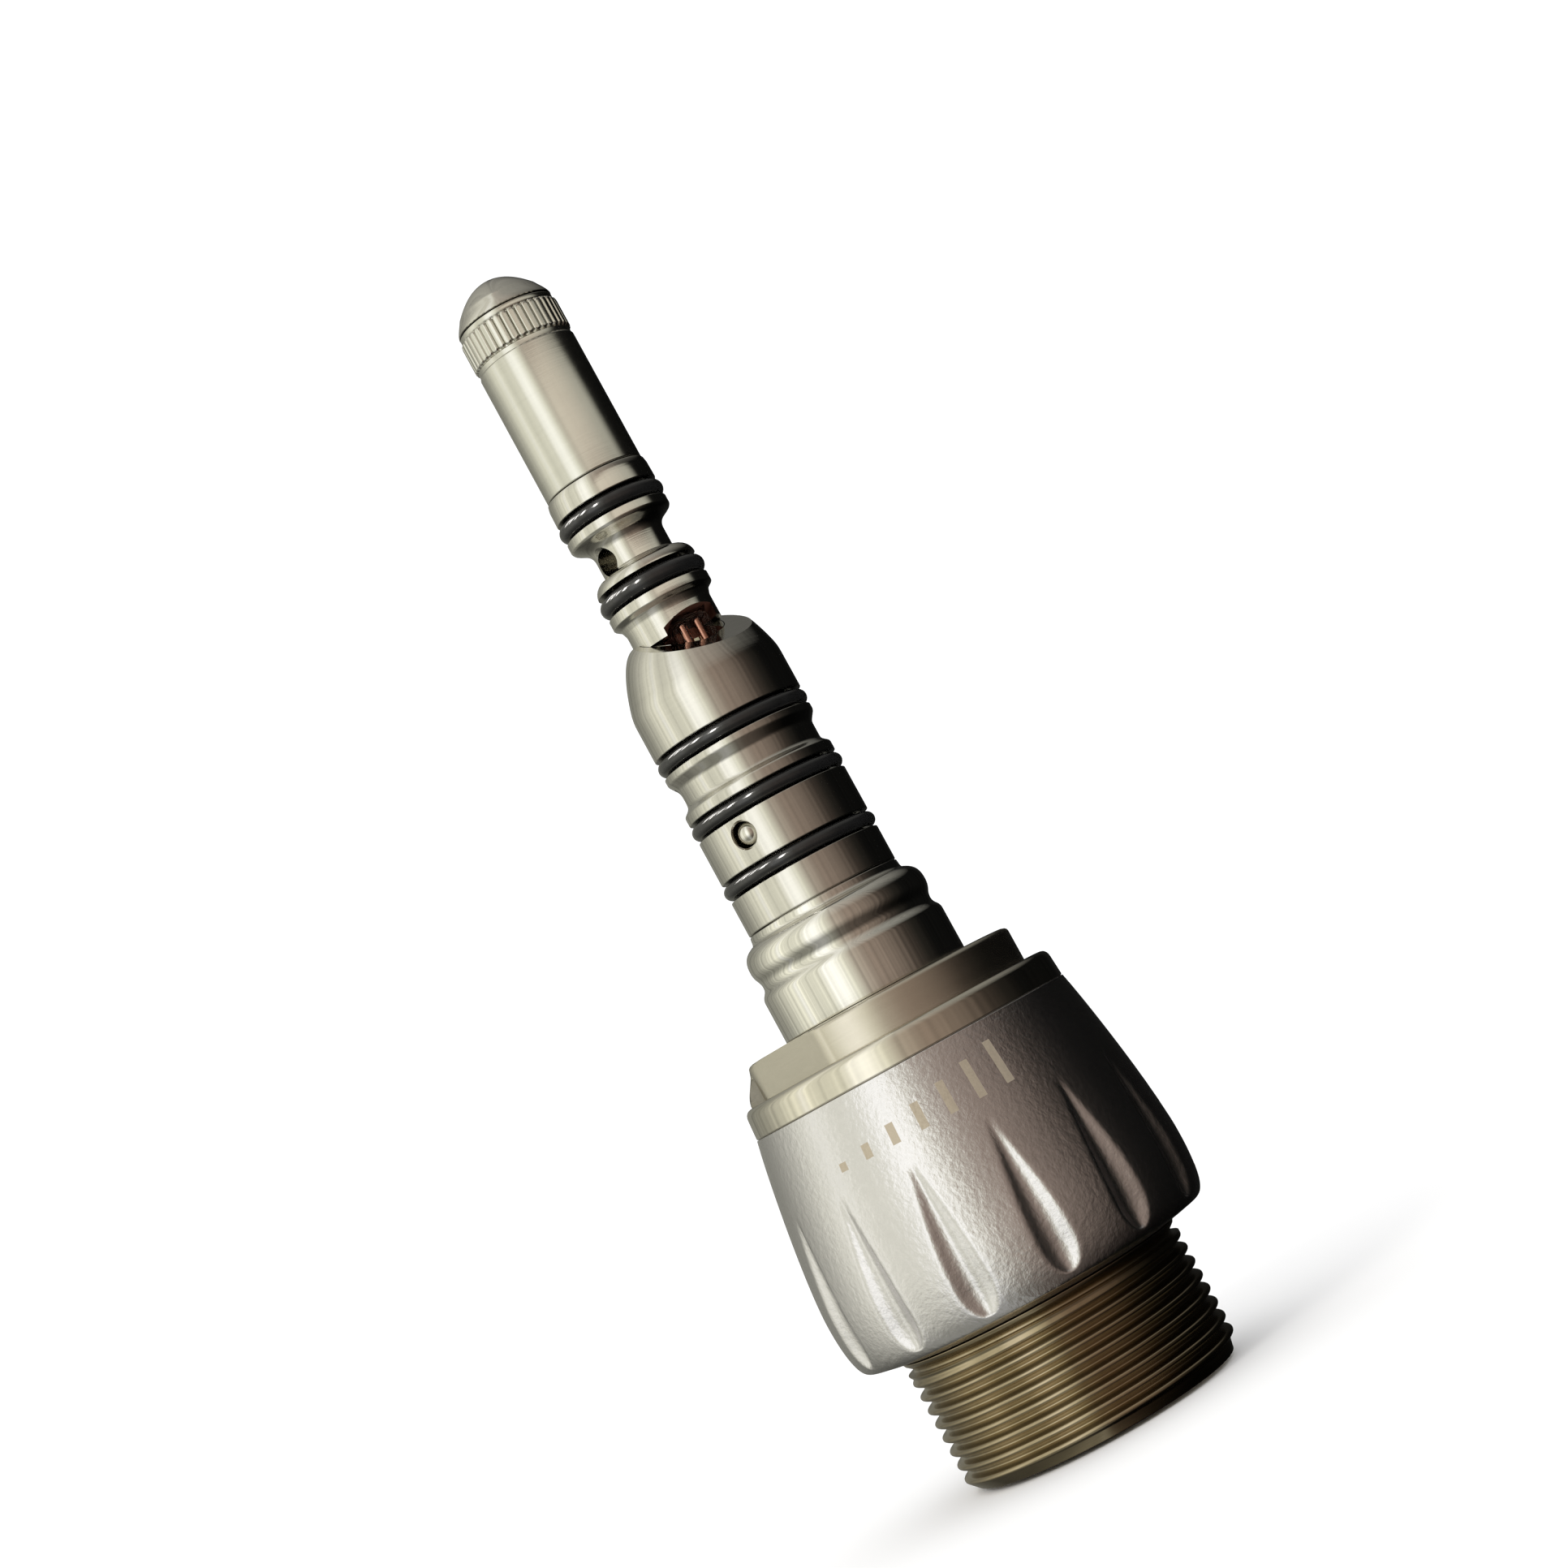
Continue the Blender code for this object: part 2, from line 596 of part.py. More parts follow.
def make_wiring():
    """Two contact pins at the rear and the wires that lead from them to the lamp socket."""
    foot_height = 7.46
    bend_top = 11.06
    head_height = 39.04
    bend_steps = 9
    for i, mat in enumerate((RED_WIRE, BLACK_WIRE)):
        side = i - 0.5
        foot = pin_place(side)
        rod("contact_pin_{}".format(i + 1), PIN_R, TUBE_REAR + 0.3, INSERT_TOP + 0.26, foot, GOLD, 12, 0.1)
        head = lamp_point(0.8 * side, 0.0)
        points = []
        for step in range(bend_steps + 1):
            part = step / bend_steps
            blend = part * part * (3.0 - 2.0 * part)
            points.append((foot[0] + (head[0] - foot[0]) * blend, foot[1] + (head[1] - foot[1]) * blend,
                           foot_height + (bend_top - foot_height) * part))
        points.append((head[0], head[1], head_height))
        wire("feed_wire_{}".format(i + 1), points, WIRE_R, mat)


# ---------------------------------------------------------------- collar, nut and cover ring

def make_collar():
    bore = PLUG_SPIGOT_R + FIT
    outline = [(bore, COLLAR_TOP), (COLLAR_FRONT_R, COLLAR_TOP), (COLLAR_FRONT_R + 0.04, COLLAR_LIP_REAR)]
    outline += bezier((4.25, 28.5), (4.75, 28.25), (BULGE_R, 28.0), (BULGE_R, BULGE_HEIGHT), 4)
    valley = (VALLEY_R, VALLEY_HEIGHT)
    outline += bezier((BULGE_R, BULGE_HEIGHT), (BULGE_R, 26.9), (VALLEY_R, 26.85), valley, 3)[1:]
    outline += [(VALLEY_R + 0.02, STEP_HEIGHT + 0.3), (COLLAR_R, STEP_HEIGHT), (COLLAR_R, COLLAR_REAR),
                (bore, COLLAR_REAR)]
    return turned("detent_collar", outline, MEDIUM, BRIGHT)


def make_nut():
    edge = 0.35
    bore = BOSS_R + FIT
    outline = [(bore, NUT_TOP), (NUT_R - edge, NUT_TOP)]
    outline += arc((NUT_R - edge, NUT_TOP - edge), edge, 60.0, 0.0, 2)
    outline += [(NUT_R, NUT_REAR), (bore, NUT_REAR)]
    nut = turned("wrench_nut", outline, FINE, STEEL)
    boolean(nut, lug_solid(), "UNION")
    reach = 4.0
    for azimuth in (NUT_FLAT_AZIMUTH, NUT_FLAT_AZIMUTH + 180.0):
        middle = 0.5 * (NUT_TOP + NUT_REAR)
        out = Matrix.Translation((0.0, 0.0, (NUT_FLAT_DISTANCE + 0.5 * reach) * MM))
        frame = radial_frame(azimuth, middle) @ out
        boolean(nut, block("flat_cutter_{:.0f}".format(azimuth), (12.0, 4.0, reach), frame))
    return nut


def lug_solid():
    """Ramp on the nut's rim that widens towards the cover ring."""
    sections = []
    for side in (-LUG_HALF_WIDTH, LUG_HALF_WIDTH):
        section = []
        for radius, height in ((6.6, NUT_REAR + 0.02), (LUG_REAR_R, NUT_REAR + 0.02),
                               (LUG_FRONT_R, NUT_TOP - 0.25), (6.6, NUT_TOP - 0.25)):
            x, y = polar(radius, LUG_AZIMUTH)
            dx, dy = polar(side, LUG_AZIMUTH + 90.0)
            section.append((x + dx, y + dy, height))
        sections.append(section)
    return sweep("lug_solid", sections)


def make_cover():
    edge = 0.32
    bore = BOSS_R + FIT
    outline = [(bore, COVER_TOP), (COVER_R - edge, COVER_TOP)]
    outline += arc((COVER_R - edge, COVER_TOP - edge), edge, 60.0, 0.0, 2)
    lip = COVER_REAR - LIP_DEPTH
    outline += [(COVER_R, COVER_REAR + 0.1), (COVER_R - 0.1, COVER_REAR), (LIP_R, COVER_REAR), (LIP_R, lip),
                (GRIP_BORE + LIP_GAP, lip), (GRIP_BORE + LIP_GAP, COVER_REAR), (bore, COVER_REAR)]
    return turned("cover_ring", outline, FINE, STEEL)


# ---------------------------------------------------------------- grip ring

def grip_outline():
    front = bezier((GRIP_FRONT_R, GRIP_TOP - 0.15), (9.11, 17.85), (GRIP_MAX_R, 12.6),
                   (GRIP_MAX_R, GRIP_MAX_HEIGHT), 6)
    rear = bezier((GRIP_MAX_R, GRIP_MAX_HEIGHT), (GRIP_MAX_R, 8.9), (9.72, 7.62), GRIP_REAR_EDGE, 5)
    return front + rear[1:] + [(GRIP_REAR_R, GRIP_REAR)]


def grip_radius(height):
    outline = grip_outline()
    for upper, lower in zip(outline, outline[1:]):
        if lower[1] <= height <= upper[1]:
            part = (upper[1] - height) / (upper[1] - lower[1])
            return upper[0] + part * (lower[0] - upper[0])
    return outline[-1][0]


def flute_half_width(part):
    """Half width of a flute, at a fraction of its length from the pointed front end."""
    if part < FLUTE_WIDEST:
        return FLUTE_HALF_WIDTH * math.sin(0.5 * math.pi * part / FLUTE_WIDEST) ** 1.2
    return FLUTE_HALF_WIDTH * math.sqrt(max(0.0, 1.0 - ((part - FLUTE_WIDEST) / (1.0 - FLUTE_WIDEST)) ** 2))


def flute_cutters():
    """All the flutes as one cutter of separate teardrop hulls."""
    bm = bmesh.new()
    stations = (0.02, 0.2, 0.45, 0.7, 0.88, 0.98)
    for flute in range(FLUTE_COUNT):
        azimuth = FLUTE_PHASE + 360.0 * (flute + 0.5) / FLUTE_COUNT
        rings = []
        for part in stations:
            height = FLUTE_FRONT + (FLUTE_REAR - FLUTE_FRONT) * part
            half = flute_half_width(part)
            surface = grip_radius(height)
            depth = FLUTE_DEPTH * half / FLUTE_HALF_WIDTH
            section = [(half * 1.25, 0.5)]
            section += [(half * math.sin(math.radians(a)), -depth * math.cos(math.radians(a)))
                        for a in (70, 24, -24, -70)]
            section += [(-half * 1.25, 0.5)]
            ring = []
            for across, out in section:
                x, y = polar(surface + out, azimuth)
                dx, dy = polar(across, azimuth + 90.0)
                ring.append(bm.verts.new(((x + dx) * MM, (y + dy) * MM, height * MM)))
            rings.append(ring)
        for lower, upper in zip(rings, rings[1:]):
            bridge(bm, lower, upper)
        bm.faces.new(rings[0])
        bm.faces.new(rings[-1])
    return new_object("flute_cutters", bm, None)


def cam_groove_cutter():
    """Helical groove in the grip's bore, along which the follower pin runs."""
    half = FOLLOWER_R + GROOVE_CLEARANCE
    run_out = 5.0
    steps = 18
    sections = []
    for i in range(steps + 1):
        turn = -run_out + (REGULATOR_TURN + 2.0 * run_out) * i / steps
        height = FOLLOWER_HEIGHT + REGULATOR_LIFT * turn / REGULATOR_TURN
        azimuth = NEEDLE_AZIMUTH - turn
        inner = polar(GRIP_BORE - 0.4, azimuth)
        outer = polar(GROOVE_FLOOR, azimuth)
        sections.append([(*inner, height - half), (*outer, height - half),
                         (*outer, height + half), (*inner, height + half)])
    return sweep("cam_groove_cutter", sections)


def make_grip():
    recess = GRIP_TOP - LIP_DEPTH
    outline = [(GRIP_BORE, GRIP_REAR), (GRIP_BORE, recess), (LIP_R + LIP_GAP, recess),
               (LIP_R + LIP_GAP, GRIP_TOP), (GRIP_FRONT_R - 0.15, GRIP_TOP)]
    outline += grip_outline()
    grip = turned("grip_ring", outline, FINE, SATIN)
    boolean(grip, flute_cutters())
    boolean(grip, cam_groove_cutter())
    hang_on(grip, axis_empty("grip_axis", (0.0, 0.0), 0.0))
    return grip


# ---------------------------------------------------------------- rear body

def make_rear_body():
    seal_half = GRIP_SEAL_R + RING_GROOVE_SIDE
    seal_floor = BEARING_R - 2.0 * GRIP_SEAL_R
    bore = PLUG_SPIGOT_R + FIT
    outline = [(bore, NUT_TOP - 0.12), (BOSS_R - 0.15, NUT_TOP - 0.12), (BOSS_R, NUT_TOP - 0.27),
               (BOSS_R, COVER_REAR - SEAM), (BEARING_R, COVER_REAR - SEAM)]
    for height in reversed(GRIP_SEALS):
        outline += [(BEARING_R, height + seal_half), (seal_floor, height + seal_half),
                    (seal_floor, height - seal_half), (BEARING_R, height - seal_half)]
    outline += [(BEARING_R, GRIP_REAR - SEAM), (NECK_R, GRIP_REAR - SEAM), (NECK_R, THREAD_TOP),
                (THREAD_R, THREAD_TOP - 0.15), (THREAD_R, 0.5), (THREAD_R - 0.5, 0.0), (SOCKET_R + 0.2, 0.0),
                (SOCKET_R, 0.2), (SOCKET_R, SOCKET_FLOOR), (bore, SOCKET_FLOOR)]
    body = turned("rear_body", outline, FINE, WARM)
    axial_drill(body, VALVE_OFFSET, VALVE_AZIMUTH, VALVE_BORE, SOCKET_FLOOR - 0.5, VALVE_BORE_TOP, COARSE)
    axial_drill(body, VALVE_OFFSET, VALVE_AZIMUTH, 0.4, VALVE_BORE_TOP - 0.3, 15.0)
    radial_drill(body, VALVE_AZIMUTH, 14.3, 0.3, PLUG_SPIGOT_R - 0.3, VALVE_OFFSET + 0.1, 12)
    axial_drill(body, *EXHAUST_AT, SOCKET_FLOOR - 0.5, 19.4)
    radial_drill(body, EXHAUST_AT[1], 18.6, 0.6, PLUG_SPIGOT_R - 0.3, EXHAUST_AT[0], 12)
    axial_drill(body, NEEDLE_OFFSET, NEEDLE_AZIMUTH, NEEDLE_BORE, SOCKET_FLOOR - 0.5, NEEDLE_BORE_TOP, COARSE)
    radial_drill(body, NEEDLE_AZIMUTH, NEEDLE_BORE_TOP - 0.4, 0.35, PLUG_SPIGOT_R - 0.3, NEEDLE_OFFSET, 12)
    slot_half = FOLLOWER_R + GROOVE_CLEARANCE
    slot_height = REGULATOR_LIFT + 2.0 * slot_half
    slot_middle = FOLLOWER_HEIGHT + 0.5 * REGULATOR_LIFT
    slot_depth = 4.0
    out = Matrix.Translation((0.0, 0.0, (NEEDLE_OFFSET + 0.5 * slot_depth) * MM))
    frame = radial_frame(NEEDLE_AZIMUTH, slot_middle) @ out
    boolean(body, block("follower_slot_cutter", (2.0 * slot_half, slot_height, slot_depth), frame))
    return body


def make_grip_seals():
    for i, height in enumerate(GRIP_SEALS):
        outer = GRIP_BORE - 0.06
        o_ring("grip_seal_{}".format(i + 1), height, outer, GRIP_SEAL_R, RUBBER, FINE)


def make_insert():
    insert = turned("connector_insert", [(0.0, INSERT_REAR), (SOCKET_R - FIT - 0.2, INSERT_REAR),
                                         (SOCKET_R - FIT, INSERT_REAR + 0.2), (SOCKET_R - FIT, INSERT_TOP),
                                         (0.0, INSERT_TOP)], FINE, PLASTIC)
    low = INSERT_REAR - 1.0
    high = INSERT_TOP + 1.0
    axial_drill(insert, *EXHAUST_AT, low, high, COARSE)
    tubes = [("drive_air_tube", DRIVE_CHANNEL[0], DRIVE_CHANNEL[1], 1.0, 0.7),
             ("spray_air_tube", 2.6, 118.0, 0.62, 0.4),
             ("water_tube", VALVE_OFFSET, VALVE_AZIMUTH, 0.62, 0.4)]
    for name, offset, azimuth, outer, inner in tubes:
        axial_drill(insert, offset, azimuth, outer + FIT, low, high, COARSE)
        tube(name, outer, inner, TUBE_REAR, INSERT_TOP, polar(offset, azimuth), BRIGHT)
    for side in (-0.5, 0.5):
        x, y = pin_place(side)
        azimuth = math.degrees(math.atan2(x, -y))
        axial_drill(insert, math.hypot(x, y), azimuth, PIN_R + FIT, low, high)
    return insert


# ---------------------------------------------------------------- moving pieces inside

def make_valve():
    at = polar(VALVE_OFFSET, VALVE_AZIMUTH)
    seat_bore = 0.42
    tube("valve_seat", VALVE_BORE - FIT, seat_bore, SOCKET_FLOOR + 0.1, VALVE_SEAT_TOP, at, RUBBER)
    lift = math.sqrt(VALVE_BALL_R ** 2 - seat_bore ** 2) + 0.03
    centre = VALVE_SEAT_TOP + lift
    outline = [(0.0, centre + VALVE_BALL_R)]
    outline += arc((0.0, centre), VALVE_BALL_R, 60.0, -60.0, 5)
    outline += [(0.0, centre - VALVE_BALL_R)]
    ball = turned("valve_ball", outline, COARSE, BRIGHT, at)
    hang_on(ball, axis_empty("valve_axis", at, centre))
    low = centre + 0.6
    high = VALVE_BORE_TOP - VALVE_WIRE_R - 0.05
    steps = VALVE_TURNS * 8
    points = []
    for i in range(steps + 1):
        turn = 2.0 * math.pi * i / 8.0
        points.append((at[0] + VALVE_SPRING_R * math.cos(turn), at[1] + VALVE_SPRING_R * math.sin(turn),
                       low + (high - low) * i / steps))
    wire("valve_spring", points, VALVE_WIRE_R, BRIGHT)


def make_regulator():
    at = polar(NEEDLE_OFFSET, NEEDLE_AZIMUTH)
    outline = [(0.0, NEEDLE_TIP), (0.12, NEEDLE_TIP - 0.1), (NEEDLE_R, NEEDLE_TIP - 1.6),
               (NEEDLE_R, NEEDLE_REAR + 0.1), (NEEDLE_R - 0.1, NEEDLE_REAR), (0.0, NEEDLE_REAR)]
    needle = turned("regulator_needle", outline, COARSE, BRIGHT, at)
    cross_hole = rod("follower_hole", FOLLOWER_R + 0.03, NEEDLE_OFFSET - 2.0, NEEDLE_OFFSET + 2.0,
                     (0.0, 0.0), None, 12)
    cross_hole.matrix_world = radial_frame(NEEDLE_AZIMUTH, FOLLOWER_HEIGHT)
    boolean(needle, cross_hole)
    pin = rod("follower_pin", FOLLOWER_R, NEEDLE_OFFSET - 0.45, FOLLOWER_OUTER, (0.0, 0.0), BRIGHT, 12, 0.06)
    pin.matrix_world = radial_frame(NEEDLE_AZIMUTH, FOLLOWER_HEIGHT)
    axis = axis_empty("regulator_axis", at, FOLLOWER_HEIGHT)
    hang_on(needle, axis)
    hang_on(pin, axis)


# ---------------------------------------------------------------- assembly

make_nose()
make_sleeve()
make_stem()
for number, (ring_height, ring_outer, ring_section) in enumerate(FRONT_RINGS, 1):
    o_ring("o_ring_front_{}".format(number), ring_height, ring_outer, ring_section, RUBBER)
make_plug()
for number, (ring_height, ring_outer, ring_section) in enumerate(REAR_RINGS, 1):
    o_ring("o_ring_rear_{}".format(number), ring_height, ring_outer, ring_section, RUBBER)
make_port_ball()
make_lamp()
make_wiring()
make_collar()
make_nut()
make_cover()
make_grip()
make_rear_body()
make_grip_seals()
make_insert()
make_valve()
make_regulator()
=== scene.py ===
"""Looks of the quick-release swivel coupling.

Fine meshes stand for the faceted CAD nodes, every surface gets a procedural finish, and a pale
studio surrounds the part. Lengths are millimetres, heights run up +Z from the rear face, and azimuths
are degrees from -Y towards +X. The blocks are: helpers, finishes, pieces from the nose to the hose
thread, studio and camera.
"""
import math

import bmesh
import bpy
from mathutils import Matrix, Vector


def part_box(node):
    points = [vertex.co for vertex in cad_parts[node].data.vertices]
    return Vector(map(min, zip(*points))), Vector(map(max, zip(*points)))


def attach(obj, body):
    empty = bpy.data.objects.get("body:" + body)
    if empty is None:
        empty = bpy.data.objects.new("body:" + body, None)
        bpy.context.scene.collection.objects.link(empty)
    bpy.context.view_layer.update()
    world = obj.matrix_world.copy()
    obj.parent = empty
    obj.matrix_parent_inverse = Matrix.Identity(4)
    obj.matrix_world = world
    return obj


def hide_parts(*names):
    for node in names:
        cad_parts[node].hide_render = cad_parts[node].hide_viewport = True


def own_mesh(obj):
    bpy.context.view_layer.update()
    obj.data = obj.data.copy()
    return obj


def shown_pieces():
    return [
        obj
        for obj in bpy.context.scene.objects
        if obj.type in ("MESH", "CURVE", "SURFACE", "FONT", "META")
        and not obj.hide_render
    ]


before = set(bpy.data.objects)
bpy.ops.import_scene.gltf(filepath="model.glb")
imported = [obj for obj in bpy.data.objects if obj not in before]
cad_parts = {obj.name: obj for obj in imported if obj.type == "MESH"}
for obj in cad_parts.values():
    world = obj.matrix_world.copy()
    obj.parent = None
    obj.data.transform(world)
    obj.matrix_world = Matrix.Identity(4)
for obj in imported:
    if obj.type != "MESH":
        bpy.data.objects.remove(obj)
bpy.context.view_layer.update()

MM = 0.001

# Facets round the turned pieces
WIDE = 224
SLIM = 160
SMALL = 48

# Nose and sleeve
NOSE_SEAM = 62.93
NOSE_CREASE = (2.2, 63.75)      # radius and height of the edge between the nose's band and its cap
KNURL_TOP = 62.58
KNURL_REAR = 60.88
KNURL_RIBS = 40
KNURL_SINK = 0.06               # how far the bands beside the knurl lie under its crests

# Bores and spigots that the CAD nodes share
SLEEVE_BORE = 2.0
PLUG_SPIGOT_R = 3.3
STEM_SPIGOT_R = 2.28
BOSS_R = 5.0
FIT = 0.05

# Stem
STEM_COLLAR_R = 2.74
STEM_LAND_R = 2.82
STEM_REAR_LAND_R = 2.80         # behind the second O-ring, and at the first land's front edge
STEM_FLANGE_REAR = 50.42
STEM_WAIST_R = 1.94
STEM_LAND_REAR = 45.88
STEM_NECK_TOP = 45.3
STEM_R = 2.37
STEM_SKIRT = 44.06

# Plug
PLUG_R = 4.15
PLUG_MOUTH_R = 2.42
PLUG_SHOULDER = 41.2            # where the shoulder's curve meets the straight plug
PLUG_GROOVE_R = 3.8
PLUG_REAR = 29.0
STEM_SOCKET_FLOOR = 38.14
WATER_WAY = (1.1, -152.0)       # offset and azimuth of an axial channel
CHIP_AIR_WAY = (2.3, -40.0)
DRIVE_AIR_WAY = (2.1, -88.0)
PORT_BALL_CENTRE = 3.42

# Milled window, lamp pocket and ports
LAMP_AZIMUTH = 28.0
LAMP_OFFSET = 1.45
LAMP_R = 1.12
LAMP_WALL = 0.15
LEAD_R = 0.24
WIRE_CHANNEL_R = 0.95
POCKET_R = 1.18
POCKET_TOP = 44.76
POCKET_FLOOR = 39.0
WINDOW_AZIMUTH = 36.0
WINDOW_TILT = 27.6
WINDOW_AXIS_HEIGHT = 44.35
WINDOW_HALF_WIDTH = 3.1
WINDOW_REACH = 5.0
MOUTH_R = 1.56
MOUTH_FLOOR = 43.0
MOUTH_CEILING = 43.65           # ceiling height above the axis
MOUTH_SLOPE = 0.53
# Azimuth, height, radius and inner end of each radial drilling
FRONT_PORT = (-49.0, 48.95, 0.72, -0.55)
AIR_PORT = (-27.0, 33.35, 0.68, 2.0)
GROOVE_PORT = (-88.0, 36.6, 0.6, 1.9)

# Detent collar
COLLAR_FRONT_R = 4.16
COLLAR_LIP = (4.2, 28.6)
BULGE_R = 4.98
BULGE_HEIGHT = 27.43
VALLEY_R = 4.75
VALLEY_HEIGHT = 26.46
STEP_HEIGHT = 25.7

# Wrench nut and cover ring
NUT_R = 7.35
NUT_EDGE = 0.5                  # distance over which its front edge is rounded
NUT_SEAT_R = 5.6
NUT_OVERLAP = 0.05              # how much closer to the cover ring it sits than its CAD node
NUT_FLAT_AZIMUTH = -53.0
NUT_FLAT_DISTANCE = 6.55
LUG_FRONT_R = 7.27
LUG_REAR_R = 8.1
LUG_AZIMUTH = -91.0
LUG_HALF_WIDTH = 1.0
LUG_FLANK = 0.12                # half of the width over which its side rises
COVER_TAPER = 0.1
COVER_EDGE = 0.45

# Grip ring
GRIP_FRONT_R = 8.66
GRIP_MAX_R = 9.92
GRIP_MAX_HEIGHT = 10.4
GRIP_REAR_R = 7.6
GRIP_BORE = 7.1
LIP_R = 8.3                     # lip of the cover ring that sinks into the grip's front face
LIP_GAP = 0.1
LIP_DEPTH = 0.2
SEAM_GAP = 0.12                 # how far the grip's face lies back outside that lip
SCALE_BARS = 7
SCALE_PITCH = 9.6               # degrees
SCALE_FIRST = -34.0             # azimuth of the shortest bar
SCALE_FOOT = 16.75
SCALE_STEP = 0.3                # how much longer each bar is than the last
FLUTES = 14
FLUTE_PHASE = -1.35             # degrees by which the flutes are turned
FLUTE_FRONT = 16.5
FLUTE_REAR = 7.8
FLUTE_HALF_WIDTH = 0.95
FLUTE_DEPTH = 0.4
FLUTE_WIDEST = 0.82             # fraction of a flute's length
CAM_AZIMUTH = -130.0
CAM_HEIGHT = 12.4
CAM_TRAVEL = 120.0
CAM_LIFT = 1.5
CAM_HALF = 0.49
CAM_DEPTH = 0.7

# Hose thread
THREAD_CREST = 7.57
THREAD_DEPTH = 0.42
THREAD_PITCH = 0.75
THREAD_TOP = 6.3
THREAD_ROOT_LIMIT = 7.3         # what lies inside this radius carries no thread
THREAD_RELIEF_R = 7.2
SOCKET_R = 6.25
SOCKET_FLOOR = 7.2

# Bores and seals of the rear body: offset, azimuth and radius of each bore
VALVE_BORE = (4.6, 180.0, 0.95)
VALVE_OUTLET = (4.6, 180.0, 0.4)
AIR_BORE = (4.7, -90.0, 0.95)
NEEDLE_BORE = (4.75, CAM_AZIMUTH, 0.65)
REAR_SHOULDER = 20.1
SEAL_HEIGHTS = (18.4, 9.4)
SEAL_HALF = 0.47
SEAL_SINK = 0.84


# ---------------------------------------------------------------- helpers

def polar(radius, azimuth):
    angle = math.radians(azimuth)
    return radius * math.sin(angle), -radius * math.cos(angle)


def span(node):
    """Rear height, front height and outer radius of a CAD node."""
    low, high = (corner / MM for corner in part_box(node))
    return low.z, high.z, max(high.x, high.y, -low.x, -low.y)


def smooth(value):
    value = min(max(value, 0.0), 1.0)
    return value * value * (3.0 - 2.0 * value)


def arc(centre, radius, start, end, steps):
    """Points on an arc of an outline. 0 degrees points outwards, 90 up."""
    angles = [math.radians(start + (end - start) * i / steps) for i in range(steps + 1)]
    return [(centre[0] + radius * math.cos(a), centre[1] + radius * math.sin(a)) for a in angles]


def bezier(p0, p1, p2, p3, steps):
    points = []
    for i in range(steps + 1):
        t = i / steps
        s = 1.0 - t
        weights = (s ** 3, 3 * s * s * t, 3 * s * t * t, t ** 3)
        points.append(tuple(sum(w * p[k] for w, p in zip(weights, (p0, p1, p2, p3))) for k in (0, 1)))
    return points


def rounded(corners, steps=4):
    """Outline whose corners may carry a third number, the distance over which they are rounded."""
    points = []
    for i, corner in enumerate(corners):
        here = Vector(corner[:2])
        reach = corner[2] if len(corner) > 2 else 0.0
        if not reach:
            points.append(tuple(here))
            continue
        ends = []
        for other in (corners[i - 1], corners[(i + 1) % len(corners)]):
            side = Vector(other[:2]) - here
            ends.append(here + side.normalized() * min(reach, 0.48 * side.length))
        for k in range(steps + 1):
            t = k / steps
            points.append(tuple((1 - t) ** 2 * ends[0] + 2 * t * (1 - t) * here + t * t * ends[1]))
    return points


def finish_mesh(obj, sharp=45.0):
    """Faces outwards, smooth shading with sharp corners, and normals that keep broad faces flat."""
    bm = bmesh.new()
    bm.from_mesh(obj.data)
    bmesh.ops.recalc_face_normals(bm, faces=bm.faces)
    bm.to_mesh(obj.data)
    bm.free()
    obj.data.shade_smooth()
    obj.data.set_sharp_from_angle(angle=math.radians(sharp))
    weighted = obj.modifiers.new("flat_faces", "WEIGHTED_NORMAL")
    weighted.keep_sharp = True


def mesh_object(name, verts, faces):
    mesh = bpy.data.meshes.new(name)
    mesh.from_pydata([tuple(c * MM for c in v) for v in verts], [], faces)
    obj = bpy.data.objects.new(name, mesh)
    bpy.context.scene.collection.objects.link(obj)
    return obj


def lathe(name, outline, segments, at=(0.0, 0.0), relief=None):
    """Closed solid of revolution. relief(azimuth, radius, height) moves each point outwards."""
    verts = []
    rings = []
    for radius, height in outline:
        count = 1 if radius < 1e-6 else segments
        rings.append(range(len(verts), len(verts) + count))
        for i in range(count):
            azimuth = 360.0 * i / segments
            lift = relief(azimuth, radius, height) if relief else 0.0
            x, y = polar(radius + lift, azimuth)
            verts.append((at[0] + x, at[1] + y, height))
    faces = []
    for lower, upper in zip(rings, rings[1:] + rings[:1]):
        if len(lower) == len(upper) == 1:
            continue
        for i in range(segments):
            j = (i + 1) % segments
            corners = (lower[i % len(lower)], lower[j % len(lower)],
                       upper[j % len(upper)], upper[i % len(upper)])
            faces.append(tuple(dict.fromkeys(corners)))
    return mesh_object(name, verts, faces)


def rod(name, radius, bottom, top, at, segments=SMALL, edge=0.05):
    outline = rounded([(0.0, bottom), (radius, bottom, edge), (radius, top, edge), (0.0, top)])
    return lathe(name, outline, segments, at)


def tube(name, outer, inner, bottom, top, at, segments=SMALL, edge=0.06):
    outline = rounded([(inner, bottom, edge), (outer, bottom, edge),
                       (outer, top, edge), (inner, top, edge)])
    return lathe(name, outline, segments, at)


def radial_frame(azimuth, height):
    """Frame whose +Z points outwards at an azimuth, at a height on the axis."""
    turn = Matrix.Rotation(math.radians(azimuth), 4, "Z")
    lay_down = Matrix.Rotation(math.radians(90.0), 4, "X")
    return Matrix.Translation((0.0, 0.0, height * MM)) @ turn @ lay_down


def port_tool(port, surface, flare=0.07):
    """Radial drill whose mouth is slightly countersunk where it leaves the surface."""
    azimuth, height, radius, inner = port
    mouth = radius + 2.0 * flare
    outline = [(0.0, inner), (radius, inner), (radius, surface - 0.1), (mouth, surface + flare),
               (mouth, surface + 1.0), (0.0, surface + 1.0)]
    tool = lathe("port_tool", outline, 64)
    tool.matrix_world = radial_frame(azimuth, height)
    return tool


